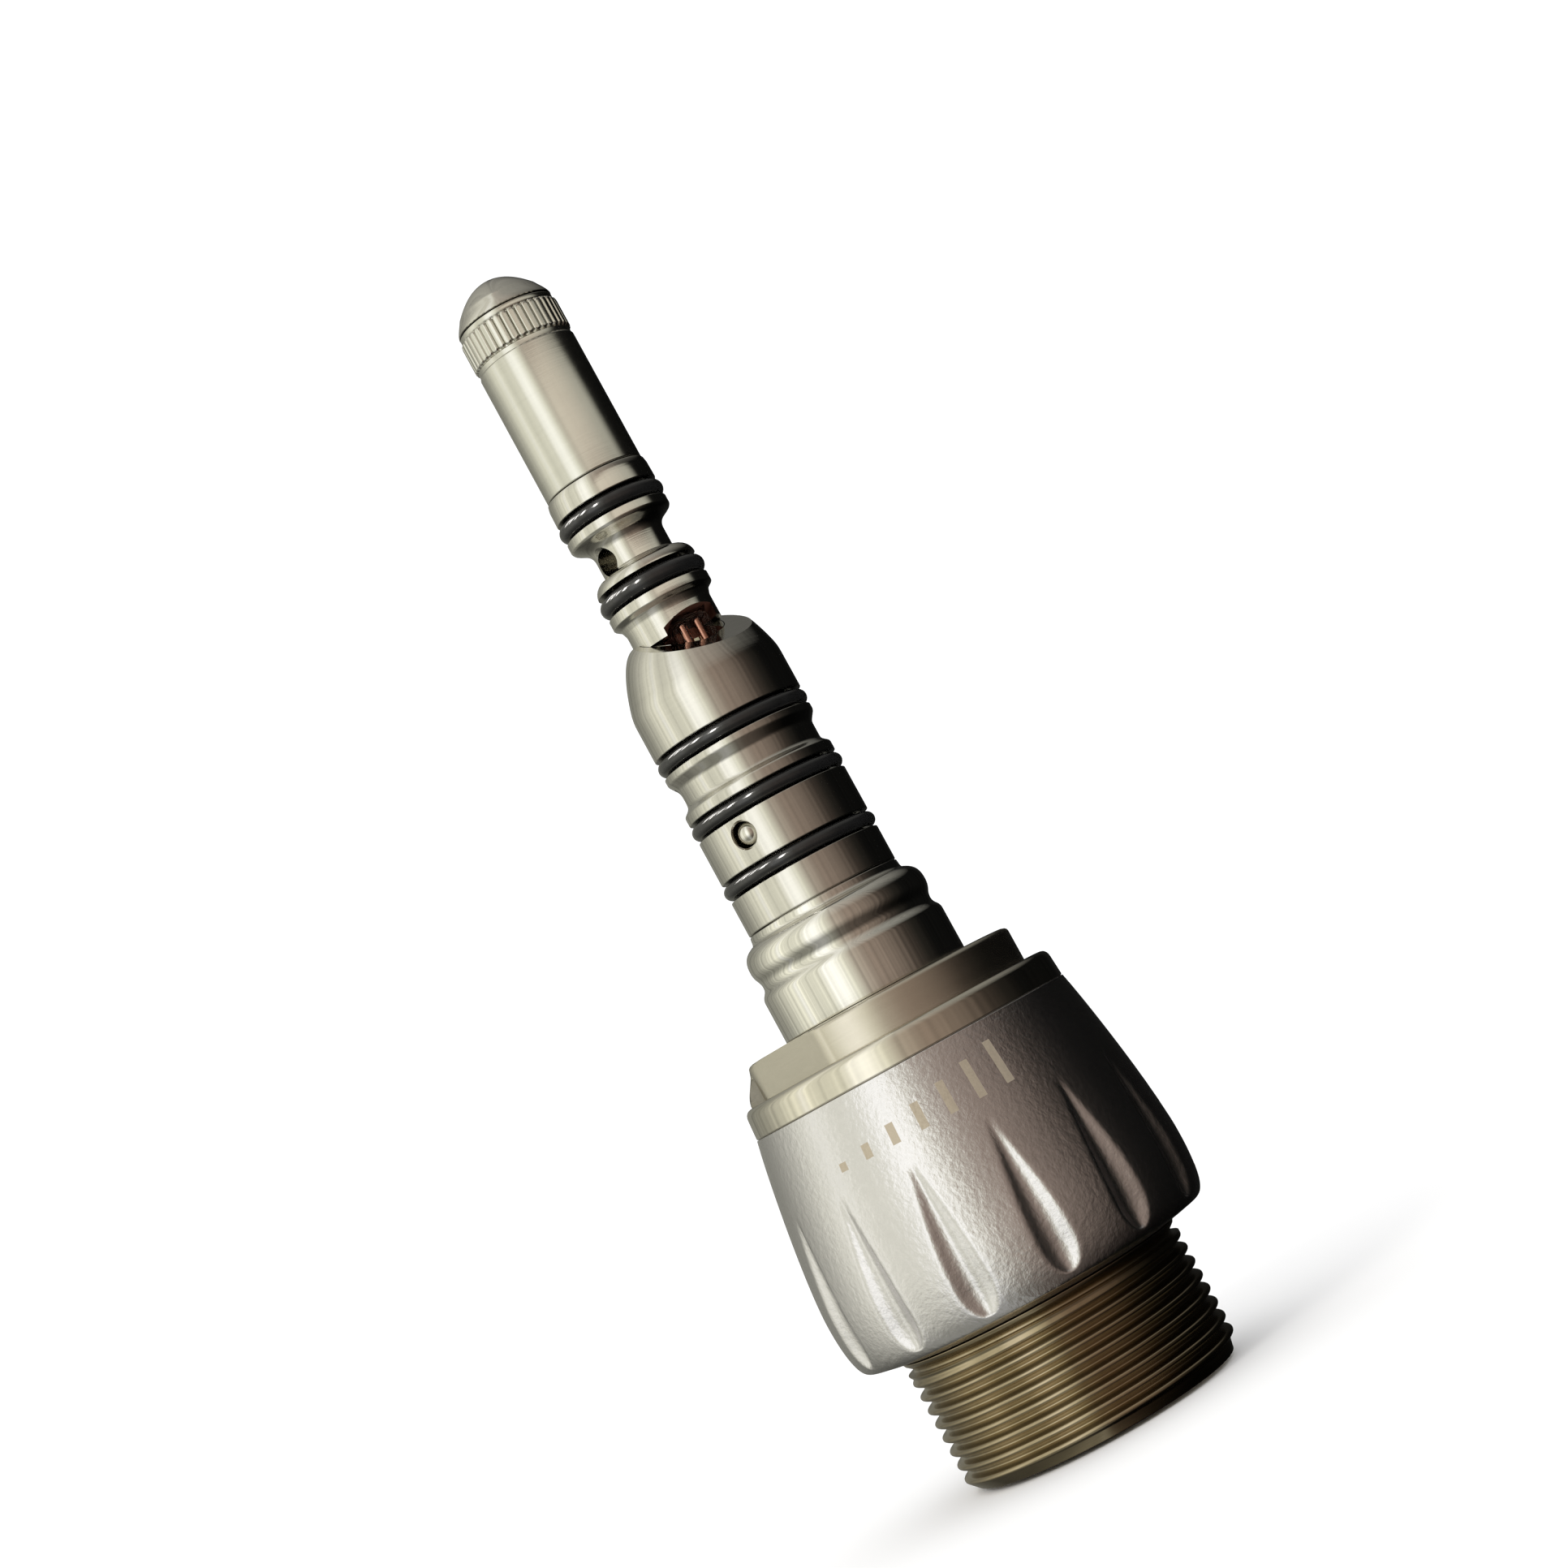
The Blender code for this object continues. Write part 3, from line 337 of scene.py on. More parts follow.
def axial_tool(offset, azimuth, radius, bottom, top):
    return rod("axial_tool", radius, bottom, top, polar(offset, azimuth), 64, 0.0)


def block_tool(size, matrix):
    hx, hy, hz = (0.5 * side for side in size)
    verts = [(x, y, z) for x in (-hx, hx) for y in (-hy, hy) for z in (-hz, hz)]
    faces = [(0, 1, 3, 2), (4, 6, 7, 5), (0, 4, 5, 1), (2, 3, 7, 6), (0, 2, 6, 4), (1, 5, 7, 3)]
    tool = mesh_object("block_tool", verts, faces)
    tool.matrix_world = matrix
    return tool


def cut(target, tools):
    """Take the tools' shapes out of the target for good."""
    for obj in [target] + tools:
        bm = bmesh.new()
        bm.from_mesh(obj.data)
        bmesh.ops.recalc_face_normals(bm, faces=bm.faces)
        bm.to_mesh(obj.data)
        bm.free()
    for tool in tools:
        modifier = target.modifiers.new("cut", "BOOLEAN")
        modifier.operation = "DIFFERENCE"
        modifier.solver = "EXACT"
        modifier.object = tool
    bpy.context.view_layer.update()
    evaluated = target.evaluated_get(bpy.context.evaluated_depsgraph_get())
    mesh = bpy.data.meshes.new_from_object(evaluated)
    target.modifiers.clear()
    target.data = mesh
    for tool in tools:
        bpy.data.objects.remove(tool, do_unlink=True)


def shade_cut_walls(target, mat, tools, painted_shade):
    """Give what these tools cut out of the target a second, dark material: painted shade on the cut
    walls.
    """
    for obj in [target] + tools:
        obj.data.materials.append(mat)
        obj.data.materials.append(painted_shade)
    for tool in tools:
        for face in tool.data.polygons:
            face.material_index = 1


def place(obj, mat, slot, body, *nodes, sharp=45.0):
    """Finish a piece, let it stand for CAD nodes of a body, and give it a material if it has none."""
    finish_mesh(obj, sharp)
    if not any(obj.data.materials):
        obj.data.materials.clear()
        obj.data.materials.append(mat)
    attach(obj, body)
    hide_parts(*nodes)


# ---------------------------------------------------------------- finishes

def add(tree, kind, inputs=None, **settings):
    """New node with its settings, and its inputs as constants or links."""
    node = tree.nodes.new("ShaderNode" + kind)
    for key, value in settings.items():
        setattr(node, key, value)
    for key, value in (inputs or {}).items():
        if isinstance(value, bpy.types.NodeSocket):
            tree.links.new(value, node.inputs[key])
        else:
            node.inputs[key].default_value = value
    return node


def math_node(tree, operation, first, second=0.0, third=0.0):
    node = add(tree, "Math", {0: first, 1: second, 2: third}, operation=operation)
    return node.outputs[0]


def surface(name, metallic, **constants):
    """Material with a Principled shader whose unvarying sockets are set."""
    mat = bpy.data.materials.new(name)
    mat.use_nodes = True
    tree = mat.node_tree
    shader = tree.nodes["Principled BSDF"]
    shader.inputs["Metallic"].default_value = metallic
    for key, value in constants.items():
        shader.inputs[key.replace("_", " ")].default_value = value
    return mat, tree, shader


def spread(tree, factor, low, high):
    """Map 0..1 to low..high."""
    return add(tree, "MapRange", {"Value": factor, "To Min": low, "To Max": high}).outputs["Result"]


def tint(tree, factor, dark, light):
    """Blend of two colours."""
    mix = add(tree, "Mix", {0: factor, 6: (*dark, 1.0), 7: (*light, 1.0)}, data_type="RGBA")
    return mix.outputs[2]


def noise(tree, vector, per_mm, detail=3.0, roughness=0.55):
    inputs = {"Vector": vector, "Scale": per_mm / MM, "Detail": detail, "Roughness": roughness}
    return add(tree, "TexNoise", inputs).outputs["Fac"]


def object_vector(tree):
    return add(tree, "TexCoord").outputs["Object"]


def turning_vector(tree, drift):
    """Coordinates that hardly change round the axis, so that textures on them draw lathe marks."""
    place_xyz = add(tree, "SeparateXYZ", {0: object_vector(tree)}).outputs
    squares = [math_node(tree, "MULTIPLY", place_xyz[k], place_xyz[k]) for k in (0, 1)]
    radius = math_node(tree, "SQRT", math_node(tree, "ADD", squares[0], squares[1]))
    slow_x = math_node(tree, "MULTIPLY", place_xyz[0], drift)
    slow_y = math_node(tree, "MULTIPLY", place_xyz[1], drift)
    height = math_node(tree, "ADD", place_xyz[2], slow_y)
    return add(tree, "CombineXYZ", {0: radius, 1: slow_x, 2: height}).outputs[0]


def bump(tree, height, depth, strength=1.0):
    """Normal from a height of 0..1 that stands for a depth in millimetres."""
    node = add(tree, "Bump", {"Height": height, "Strength": strength, "Distance": depth * MM})
    return node.outputs["Normal"]


def turned_metal(name, dark, light, rough, marks_per_mm=5.0, depth=0.004):
    """Metal off a lathe: rings of fine marks, drifting stains and handling smears."""
    mat, tree, shader = surface(name, 1.0)
    rings = noise(tree, turning_vector(tree, 0.02), marks_per_mm, 4.0, 0.7)
    stain = noise(tree, object_vector(tree), 0.35, 4.0)
    smear = noise(tree, object_vector(tree), 1.6, 5.0, 0.65)
    both = math_node(tree, "MULTIPLY_ADD", rings, 0.45, math_node(tree, "MULTIPLY", stain, 0.55))
    tree.links.new(tint(tree, both, dark, light), shader.inputs["Base Color"])
    worn = math_node(tree, "MULTIPLY_ADD", smear, 0.6, math_node(tree, "MULTIPLY", rings, 0.4))
    tree.links.new(spread(tree, worn, rough[0], rough[1]), shader.inputs["Roughness"])
    tree.links.new(bump(tree, rings, depth), shader.inputs["Normal"])
    return mat


def grip_finish():
    """Blasted and plated grip with fine orange peel and an etched flow scale of rising bars."""
    mat, tree, shader = surface("satin_grip_finish", 1.0)
    where = object_vector(tree)
    peel = noise(tree, where, 3.2, 3.0, 0.6)
    grain = noise(tree, where, 9.0, 2.0, 0.6)
    patch = noise(tree, where, 0.25, 3.0)
    x, y, z = add(tree, "SeparateXYZ", {0: where}).outputs
    turn = math_node(tree, "ARCTAN2", x, math_node(tree, "MULTIPLY", y, -1.0))
    past_first = math_node(tree, "SUBTRACT", turn, math.radians(SCALE_FIRST))
    step = math_node(tree, "DIVIDE", past_first, math.radians(SCALE_PITCH))
    index = math_node(tree, "ROUND", step)
    across = math_node(tree, "ABSOLUTE", math_node(tree, "SUBTRACT", step, index))
    in_bar = math_node(tree, "LESS_THAN", across, 0.14)
    in_row = math_node(tree, "COMPARE", index, 0.5 * (SCALE_BARS - 1), 0.5 * SCALE_BARS)
    above_foot = math_node(tree, "SUBTRACT", z, SCALE_FOOT * MM)
    rise = math_node(tree, "DIVIDE", above_foot, SCALE_STEP * MM)
    above = math_node(tree, "GREATER_THAN", rise, 0.0)
    below = math_node(tree, "LESS_THAN", rise, math_node(tree, "ADD", index, 1.4))
    mask = math_node(tree, "MULTIPLY", math_node(tree, "MULTIPLY", in_bar, in_row),
                     math_node(tree, "MULTIPLY", above, below))
    both = math_node(tree, "MULTIPLY_ADD", patch, 0.6, math_node(tree, "MULTIPLY", peel, 0.4))
    metal = tint(tree, both, (0.60, 0.59, 0.60), (0.73, 0.715, 0.73))
    etched = tint(tree, grain, (0.39, 0.335, 0.255), (0.49, 0.425, 0.33))
    colour = add(tree, "Mix", {0: mask, 6: metal, 7: etched}, data_type="RGBA").outputs[2]
    tree.links.new(colour, shader.inputs["Base Color"])
    tree.links.new(math_node(tree, "MULTIPLY_ADD", mask, -0.45, 1.0), shader.inputs["Metallic"])
    satin = spread(tree, grain, 0.18, 0.29)
    tree.links.new(math_node(tree, "MULTIPLY_ADD", mask, 0.15, satin), shader.inputs["Roughness"])
    height = math_node(tree, "MULTIPLY_ADD", peel, 0.88, math_node(tree, "MULTIPLY", grain, 0.12))
    tree.links.new(bump(tree, height, 0.04, 0.8), shader.inputs["Normal"])
    return mat


def rubber_finish():
    """Greased black nitrile with a faint moulding grain."""
    mat, tree, shader = surface("o_ring_rubber", 0.0, IOR=1.58)
    where = object_vector(tree)
    grease = noise(tree, where, 1.2, 4.0)
    grain = noise(tree, where, 7.0, 3.0)
    black = tint(tree, grease, (0.004, 0.004, 0.004), (0.010, 0.010, 0.010))
    tree.links.new(black, shader.inputs["Base Color"])
    tree.links.new(spread(tree, grease, 0.06, 0.22), shader.inputs["Roughness"])
    tree.links.new(bump(tree, grain, 0.003, 0.5), shader.inputs["Normal"])
    return mat


def plastic_finish(name, dark, light, rough, per_mm=3.0, depth=0.01, **constants):
    """Moulded or sintered material with a fine grain and uneven gloss."""
    mat, tree, shader = surface(name, 0.0, **constants)
    where = object_vector(tree)
    cloud = noise(tree, where, 0.6, 3.0)
    grain = noise(tree, where, per_mm, 3.0)
    tree.links.new(tint(tree, cloud, dark, light), shader.inputs["Base Color"])
    tree.links.new(spread(tree, grain, rough[0], rough[1]), shader.inputs["Roughness"])
    tree.links.new(bump(tree, grain, depth, 0.5), shader.inputs["Normal"])
    return mat


def glass_finish():
    """Lamp envelope: thin clear glass with a slight brown haze from heat."""
    mat, tree, shader = surface("lamp_glass_finish", 0.0, IOR=1.9)
    slant = add(tree, "LayerWeight", {"Blend": 0.5}).outputs["Facing"]
    edge = math_node(tree, "POWER", slant, 3.0)
    tree.links.new(spread(tree, edge, 0.012, 0.7), shader.inputs["Alpha"])
    haze = noise(tree, object_vector(tree), 1.5, 3.0)
    brown = tint(tree, haze, (0.03, 0.019, 0.013), (0.08, 0.06, 0.048))
    tree.links.new(brown, shader.inputs["Base Color"])
    tree.links.new(spread(tree, haze, 0.02, 0.09), shader.inputs["Roughness"])
    return mat


# Dark and light colour, lowest and highest roughness, then marks per millimetre and their depth
STEEL = turned_metal("turned_steel_finish", (0.54, 0.525, 0.485), (0.68, 0.665, 0.615), (0.06, 0.16))
SLEEVE_STEEL = turned_metal("sleeve_steel_finish", (0.55, 0.54, 0.495), (0.68, 0.67, 0.615),
                            (0.13, 0.25), 7.0, 0.003)
STEM_STEEL = turned_metal("stem_steel_finish", (0.54, 0.525, 0.485), (0.68, 0.665, 0.61),
                          (0.07, 0.17), 7.0)
BRIGHT = turned_metal("bright_steel_finish", (0.62, 0.605, 0.56), (0.76, 0.745, 0.69),
                      (0.04, 0.11), 4.0, 0.002)
COVER_STEEL = turned_metal("cover_steel_finish", (0.56, 0.53, 0.465), (0.71, 0.675, 0.585),
                           (0.05, 0.14))
# Dark steel for the lug's flank: painted shade where its side turns away from the light, not a finish
# of its own.
LUG_PAINTED_SHADE = turned_metal("lug_steel_finish", (0.14, 0.13, 0.11), (0.34, 0.32, 0.28),
                         (0.32, 0.5), 6.0, 0.012)
NUT_STEEL = turned_metal("nut_steel_finish", (0.53, 0.495, 0.425), (0.66, 0.62, 0.535),
                         (0.16, 0.32), 4.0, 0.005)
BRASS = turned_metal("plated_brass_finish", (0.30, 0.245, 0.16), (0.47, 0.395, 0.27),
                     (0.10, 0.22), 4.0, 0.002)
COPPER = turned_metal("lead_copper_finish", (0.34, 0.155, 0.11), (0.60, 0.335, 0.255),
                      (0.12, 0.26), 6.0, 0.003)
GOLD = turned_metal("contact_gold_finish", (0.72, 0.50, 0.18), (0.92, 0.70, 0.32),
                    (0.12, 0.26), 6.0, 0.002)
GRIP = grip_finish()
RUBBER = rubber_finish()
GLASS = glass_finish()
PLASTIC = plastic_finish("insert_plastic_finish", (0.035, 0.035, 0.038), (0.065, 0.065, 0.07),
                         (0.35, 0.55))
CERAMIC = plastic_finish("lamp_ceramic_finish", (0.62, 0.58, 0.50), (0.80, 0.77, 0.70),
                         (0.4, 0.6), 5.0)
BOARD = plastic_finish("lamp_board_finish", (0.085, 0.026, 0.014), (0.17, 0.06, 0.034),
                       (0.25, 0.5), 4.0, Specular_IOR_Level=0.1)
# Dark brown for the walls that the lamp pocket's cutters leave in the steel: painted shade inside the
# recess.
POCKET_PAINTED_SHADE = plastic_finish("pocket_lining_finish", (0.032, 0.012, 0.008), (0.07, 0.028, 0.018),
                        (0.25, 0.45), Specular_IOR_Level=0.1)
DIE = plastic_finish("led_die_finish", (0.80, 0.72, 0.42), (0.95, 0.90, 0.62), (0.25, 0.4), 6.0)
RED_WIRE = plastic_finish("red_wire_finish", (0.36, 0.02, 0.015), (0.48, 0.04, 0.03), (0.3, 0.45))
BLACK_WIRE = plastic_finish("black_wire_finish", (0.012, 0.012, 0.012), (0.025, 0.025, 0.025),
                            (0.3, 0.45))


# ---------------------------------------------------------------- nose and sleeve

def make_nose():
    rear, front, radius = span("nose_cone")
    spigot = SLEEVE_BORE - FIT
    outline = bezier((0.0, front), (0.95, front - 0.01), (1.6, 64.42), NOSE_CREASE, 24)
    seam = (radius - 0.02, NOSE_SEAM + 0.03)
    outline += bezier(NOSE_CREASE, (2.38, 63.44), (2.58, 63.2), seam, 12)[1:]
    outline += [(radius - 0.06, NOSE_SEAM), (spigot, NOSE_SEAM), (spigot, rear, 0.2), (0.0, rear)]
    nose = lathe("nose_cone_fine", rounded(outline), SLIM)
    place(nose, STEEL, "turned_steel", "coupling", "nose_cone", sharp=14.0)


def knurl_relief(azimuth, radius, height):
    """Raised ribs with round ends between two plain bands."""
    if radius < 2.4 or not KNURL_REAR <= height <= KNURL_TOP:
        return 0.0
    half_pitch = math.pi * radius / KNURL_RIBS
    across = (azimuth * KNURL_RIBS / 360.0 + 0.5) % 1.0 - 0.5
    across = abs(across) * 2.0 * half_pitch
    middle = 0.5 * (KNURL_TOP + KNURL_REAR)
    straight = 0.5 * (KNURL_TOP - KNURL_REAR) - half_pitch
    beyond = max(0.0, abs(height - middle) - straight)
    away = math.hypot(across, beyond) / half_pitch
    if away >= 1.0:
        return -0.04
    return 0.17 * (1.0 - away ** 5) ** 0.6 - 0.04


def make_sleeve():
    rear, top, radius = span("front_sleeve")
    sunk = radius - KNURL_SINK
    rows = 40
    band = [(sunk - 0.02, KNURL_TOP - (KNURL_TOP - KNURL_REAR) * i / rows) for i in range(rows + 1)]
    outline = [(SLEEVE_BORE, top), (sunk, top, 0.06), (sunk, KNURL_TOP + 0.05)] + band
    outline += [(sunk, KNURL_REAR - 0.05), (sunk, KNURL_REAR - 0.3, 0.02),
                (radius, KNURL_REAR - 0.36, 0.04), (radius, rear, 0.09), (SLEEVE_BORE, rear)]
    sleeve = lathe("front_sleeve_fine", rounded(outline), 12 * KNURL_RIBS, relief=knurl_relief)
    place(sleeve, SLEEVE_STEEL, "turned_steel", "coupling", "front_sleeve")


# ---------------------------------------------------------------- stem and plug

def ring_groove(node):
    """Outline of the groove under an O-ring, from its front side to its rear side."""
    rear, front, outer = span(node)
    floor = outer - (front - rear) - 0.05
    return [(floor, front + 0.05, 0.06), (floor, rear - 0.05, 0.06)]


def window_tool():
    height = 4.0
    turn = Matrix.Rotation(math.radians(WINDOW_AZIMUTH), 4, "Z")
    tilt = Matrix.Rotation(math.radians(WINDOW_TILT), 4, "X")
    lift = Matrix.Translation((0.0, 0.0, 0.5 * height * MM))
    matrix = Matrix.Translation((0.0, 0.0, WINDOW_AXIS_HEIGHT * MM)) @ turn @ tilt @ lift
    return block_tool((2.0 * WINDOW_HALF_WIDTH, 14.0, height), matrix)


def wedge_tool():
    """What the window's cutter takes from the stem, from the tilted floor to the skirt's end."""
    slope = math.tan(math.radians(WINDOW_TILT))
    inner = (WINDOW_AXIS_HEIGHT - STEM_SKIRT) / slope
    floor = WINDOW_AXIS_HEIGHT - WINDOW_REACH * slope
    verts = []
    for side in (-WINDOW_HALF_WIDTH, WINDOW_HALF_WIDTH):
        dx, dy = polar(side, WINDOW_AZIMUTH + 90.0)
        for out, height in ((inner, STEM_SKIRT), (WINDOW_REACH, STEM_SKIRT), (WINDOW_REACH, floor)):
            x, y = polar(out, WINDOW_AZIMUTH)
            verts.append((x + dx, y + dy, height))
    faces = [(0, 1, 2), (5, 4, 3), (0, 3, 4, 1), (1, 4, 5, 2), (2, 5, 3, 0)]
    return mesh_object("wedge_tool", verts, faces)


def mouth_tool():
    """Cylinder beside the lamp whose top face rises outwards."""
    at = polar(LAMP_OFFSET, LAMP_AZIMUTH)
    tool = rod("mouth_tool", MOUTH_R, MOUTH_FLOOR, MOUTH_FLOOR + 1.0, at, 96, 0.0)
    ahead = Vector((*polar(1.0, WINDOW_AZIMUTH), 0.0))
    for vertex in tool.data.vertices:
        if vertex.co.z > (MOUTH_FLOOR + 0.5) * MM:
            vertex.co.z = MOUTH_CEILING * MM + MOUTH_SLOPE * vertex.co.dot(ahead)
    return tool


def make_stem():
    rear, front, _ = span("stem")
    spigot = SLEEVE_BORE - FIT
    collar = span("front_sleeve")[0] - 0.06
    outline = [(0.0, front), (spigot, front, 0.2), (spigot, collar), (STEM_COLLAR_R, collar, 0.05),
               (STEM_REAR_LAND_R, collar - 0.3), (STEM_LAND_R, 51.93, 0.06)]
    outline += ring_groove("o_ring_front_1")
    outline += [(STEM_LAND_R, 50.87, 0.04), (STEM_LAND_R, STEM_FLANGE_REAR, 0.05),
                (STEM_COLLAR_R, 50.3, 0.03)]
    outline += bezier((2.62, 50.22), (2.2, 50.0), (1.98, 49.85), (STEM_WAIST_R, 49.45), 12)
    outline += [(STEM_WAIST_R, 48.42), (2.0, 48.36)]
    outline += bezier((2.13, 48.3), (2.5, 48.25), (2.75, 47.95), (2.76, 47.62), 8)
    outline += ring_groove("o_ring_front_2")
    outline += [(STEM_REAR_LAND_R, 46.4, 0.04), (STEM_REAR_LAND_R, STEM_LAND_REAR, 0.05),
                (2.5, 45.66, 0.08), (STEM_R, STEM_NECK_TOP, 0.1), (STEM_R, STEM_SKIRT),
                (STEM_SPIGOT_R, STEM_SKIRT), (STEM_SPIGOT_R, rear), (0.0, rear)]
    stem = lathe("stem_fine", rounded(outline), SLIM)
    water = axial_tool(*WATER_WAY, 0.45, rear - 1.0, 49.2)
    pocket = axial_tool(LAMP_OFFSET, LAMP_AZIMUTH, POCKET_R, rear - 1.0, POCKET_TOP)
    mouth = mouth_tool()
    # The pocket's and mouth's walls take the dark material: painted shade inside the lamp recess.
    shade_cut_walls(stem, STEM_STEEL, [pocket, mouth], POCKET_PAINTED_SHADE)
    cut(stem, [water, port_tool(FRONT_PORT, STEM_WAIST_R), pocket, mouth, wedge_tool()])
    place(stem, STEM_STEEL, "turned_steel", "coupling", "stem", sharp=35.0)


def make_plug():
    rear, front, _ = span("plug_body")
    socket = STEM_SPIGOT_R + FIT
    groove = PLUG_GROOVE_R
    outline = [(PLUG_MOUTH_R, front)]
    outline += bezier((2.7, front), (3.2, 44.15), (3.75, 42.9), (4.08, 41.6), 24)
    outline += [(PLUG_R, PLUG_SHOULDER, 0.3), (PLUG_R, 38.94, 0.06)]
    outline += ring_groove("o_ring_rear_1")
    outline += [(PLUG_R, 37.96, 0.06), (PLUG_R, 37.6, 0.1), (groove, 37.1, 0.15),
                (groove, 36.1, 0.15), (PLUG_R, 35.8, 0.08), (PLUG_R, 35.29, 0.06)]
    outline += ring_groove("o_ring_rear_2")
    outline += [(PLUG_R, 34.31, 0.06), (PLUG_R, 31.89, 0.06)]
    outline += ring_groove("o_ring_rear_3")
    outline += [(PLUG_R, 30.91, 0.06), (PLUG_R, PLUG_REAR, 0.08), (PLUG_SPIGOT_R, PLUG_REAR),
                (PLUG_SPIGOT_R, rear, 0.2), (0.0, rear), (0.0, STEM_SOCKET_FLOOR),
                (socket, STEM_SOCKET_FLOOR), (socket, STEM_SKIRT - 0.06),
                (PLUG_MOUTH_R, STEM_SKIRT - 0.06)]
    plug = lathe("plug_body_fine", rounded(outline), SLIM)
    pocket = axial_tool(LAMP_OFFSET, LAMP_AZIMUTH, POCKET_R, POCKET_FLOOR, POCKET_TOP + 1.0)
    # The pocket's walls take the dark material: painted shade inside the lamp recess.
    shade_cut_walls(plug, STEEL, [pocket], POCKET_PAINTED_SHADE)
    low = rear - 1.0
    wires = axial_tool(LAMP_OFFSET, LAMP_AZIMUTH, WIRE_CHANNEL_R, low, POCKET_FLOOR + 0.3)
    tools = [window_tool(), pocket, wires, axial_tool(*WATER_WAY, 0.46, low, 38.7),
             axial_tool(*CHIP_AIR_WAY, 0.5, low, 33.65), axial_tool(*DRIVE_AIR_WAY, 0.72, low, 36.8),
             port_tool(AIR_PORT, PLUG_R), port_tool(GROOVE_PORT, PLUG_GROOVE_R)]
    cut(plug, tools)
    place(plug, STEEL, "turned_steel", "coupling", "plug_body", sharp=35.0)


def make_port_ball():
    rear, front, _ = span("port_ball")
    middle = 0.5 * (rear + front)
    radius = 0.5 * (front - rear)
    ball = lathe("port_ball_fine", arc((0.0, 0.0), radius, 90.0, -90.0, 24), SMALL)
    for vertex in ball.data.vertices:
        x, y = polar(PORT_BALL_CENTRE, AIR_PORT[0])
        vertex.co += Vector((x, y, middle)) * MM
    place(ball, BRIGHT, "polished_steel", "coupling", "port_ball")


def make_o_rings():
    for node in ["o_ring_front_1", "o_ring_front_2", "o_ring_rear_1", "o_ring_rear_2", "o_ring_rear_3"]:
        rear, front, outer = span(node)
        section = 0.5 * (front - rear)
        circle = arc((outer - section, 0.5 * (front + rear)), section, 0.0, 345.0, 23)
        ring = lathe(node + "_fine", circle, SLIM)
        place(ring, RUBBER, "black_rubber", "coupling", node)


# ---------------------------------------------------------------- lamp

def make_lamp():
    at = polar(LAMP_OFFSET, LAMP_AZIMUTH)
    rear, front, _ = span("lamp_glass")
    inner = LAMP_R - LAMP_WALL
    roof = front - LAMP_WALL
    outline = [(inner, rear), (LAMP_R, rear, 0.04), (LAMP_R, front - 0.6)]
    outline += bezier((LAMP_R, front - 0.5), (LAMP_R, front - 0.12), (0.6, front), (0.0, front), 12)
    outline += bezier((0.0, roof), (0.5, roof), (inner, front - 0.25), (inner, front - 0.6), 10)
    glass = lathe("lamp_glass_fine", rounded(outline), 72, at)
    place(glass, GLASS, "lamp_clear", "coupling", "lamp_glass", sharp=60.0)
    for i in (1, 2):
        node = "lamp_lead_{}".format(i)
        low, high = (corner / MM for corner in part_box(node))
        middle = (0.5 * (low.x + high.x), 0.5 * (low.y + high.y))
        lead = rod(node + "_fine", LEAD_R, low.z, high.z, middle, 32, 0.15)
        place(lead, COPPER, "copper", "coupling", node)


# ---------------------------------------------------------------- collar, nut and cover ring

def make_collar():
    rear, front, radius = span("detent_collar")
    bore = PLUG_SPIGOT_R + FIT
    outline = [(bore, front), (COLLAR_FRONT_R, front, 0.04), (*COLLAR_LIP, 0.06)]
    outline += bezier((4.25, 28.5), (4.75, 28.3), (BULGE_R, 28.05), (BULGE_R, BULGE_HEIGHT), 14)
    outline += bezier((BULGE_R, BULGE_HEIGHT), (BULGE_R, 26.9), (VALLEY_R, 26.85),
                      (VALLEY_R, VALLEY_HEIGHT), 12)[1:]
    outline += bezier((VALLEY_R, VALLEY_HEIGHT), (VALLEY_R, 26.1), (radius, 26.1),
                      (radius, STEP_HEIGHT), 10)[1:]
    outline += [(radius, rear, 0.08), (bore, rear)]
    collar = lathe("detent_collar_fine", rounded(outline), SLIM)
    place(collar, BRIGHT, "polished_steel", "coupling", "detent_collar", sharp=50.0)


def nut_relief(azimuth, radius, depth):
    """Two wrench flats, and the lug that ramps out from the front, depth 0, to the rear, depth 1."""
    if radius < 6.0:
        return 0.0
    reach = radius
    for flat in (NUT_FLAT_AZIMUTH, NUT_FLAT_AZIMUTH + 180.0):
        facing = math.cos(math.radians(azimuth - flat))
        if facing > 0.3:
            reach = soft_min(reach, NUT_FLAT_DISTANCE / facing, 0.05)
    lug = LUG_FRONT_R + (LUG_REAR_R - LUG_FRONT_R) * smooth(depth)
    side = abs(lug * math.sin(math.radians(azimuth - LUG_AZIMUTH)))
    if side < 2.0 * LUG_HALF_WIDTH and math.cos(math.radians(azimuth - LUG_AZIMUTH)) > 0.0:
        inside = smooth((LUG_HALF_WIDTH + LUG_FLANK - side) / (2.0 * LUG_FLANK))
        reach += inside * max(0.0, lug - NUT_R + radius - reach)
    return reach - radius


def soft_min(a, b, blend):
    """Smaller of two lengths, rounded where they cross."""
    part = max(0.0, 1.0 - abs(a - b) / (4.0 * blend))
    return min(a, b) - part * part * blend


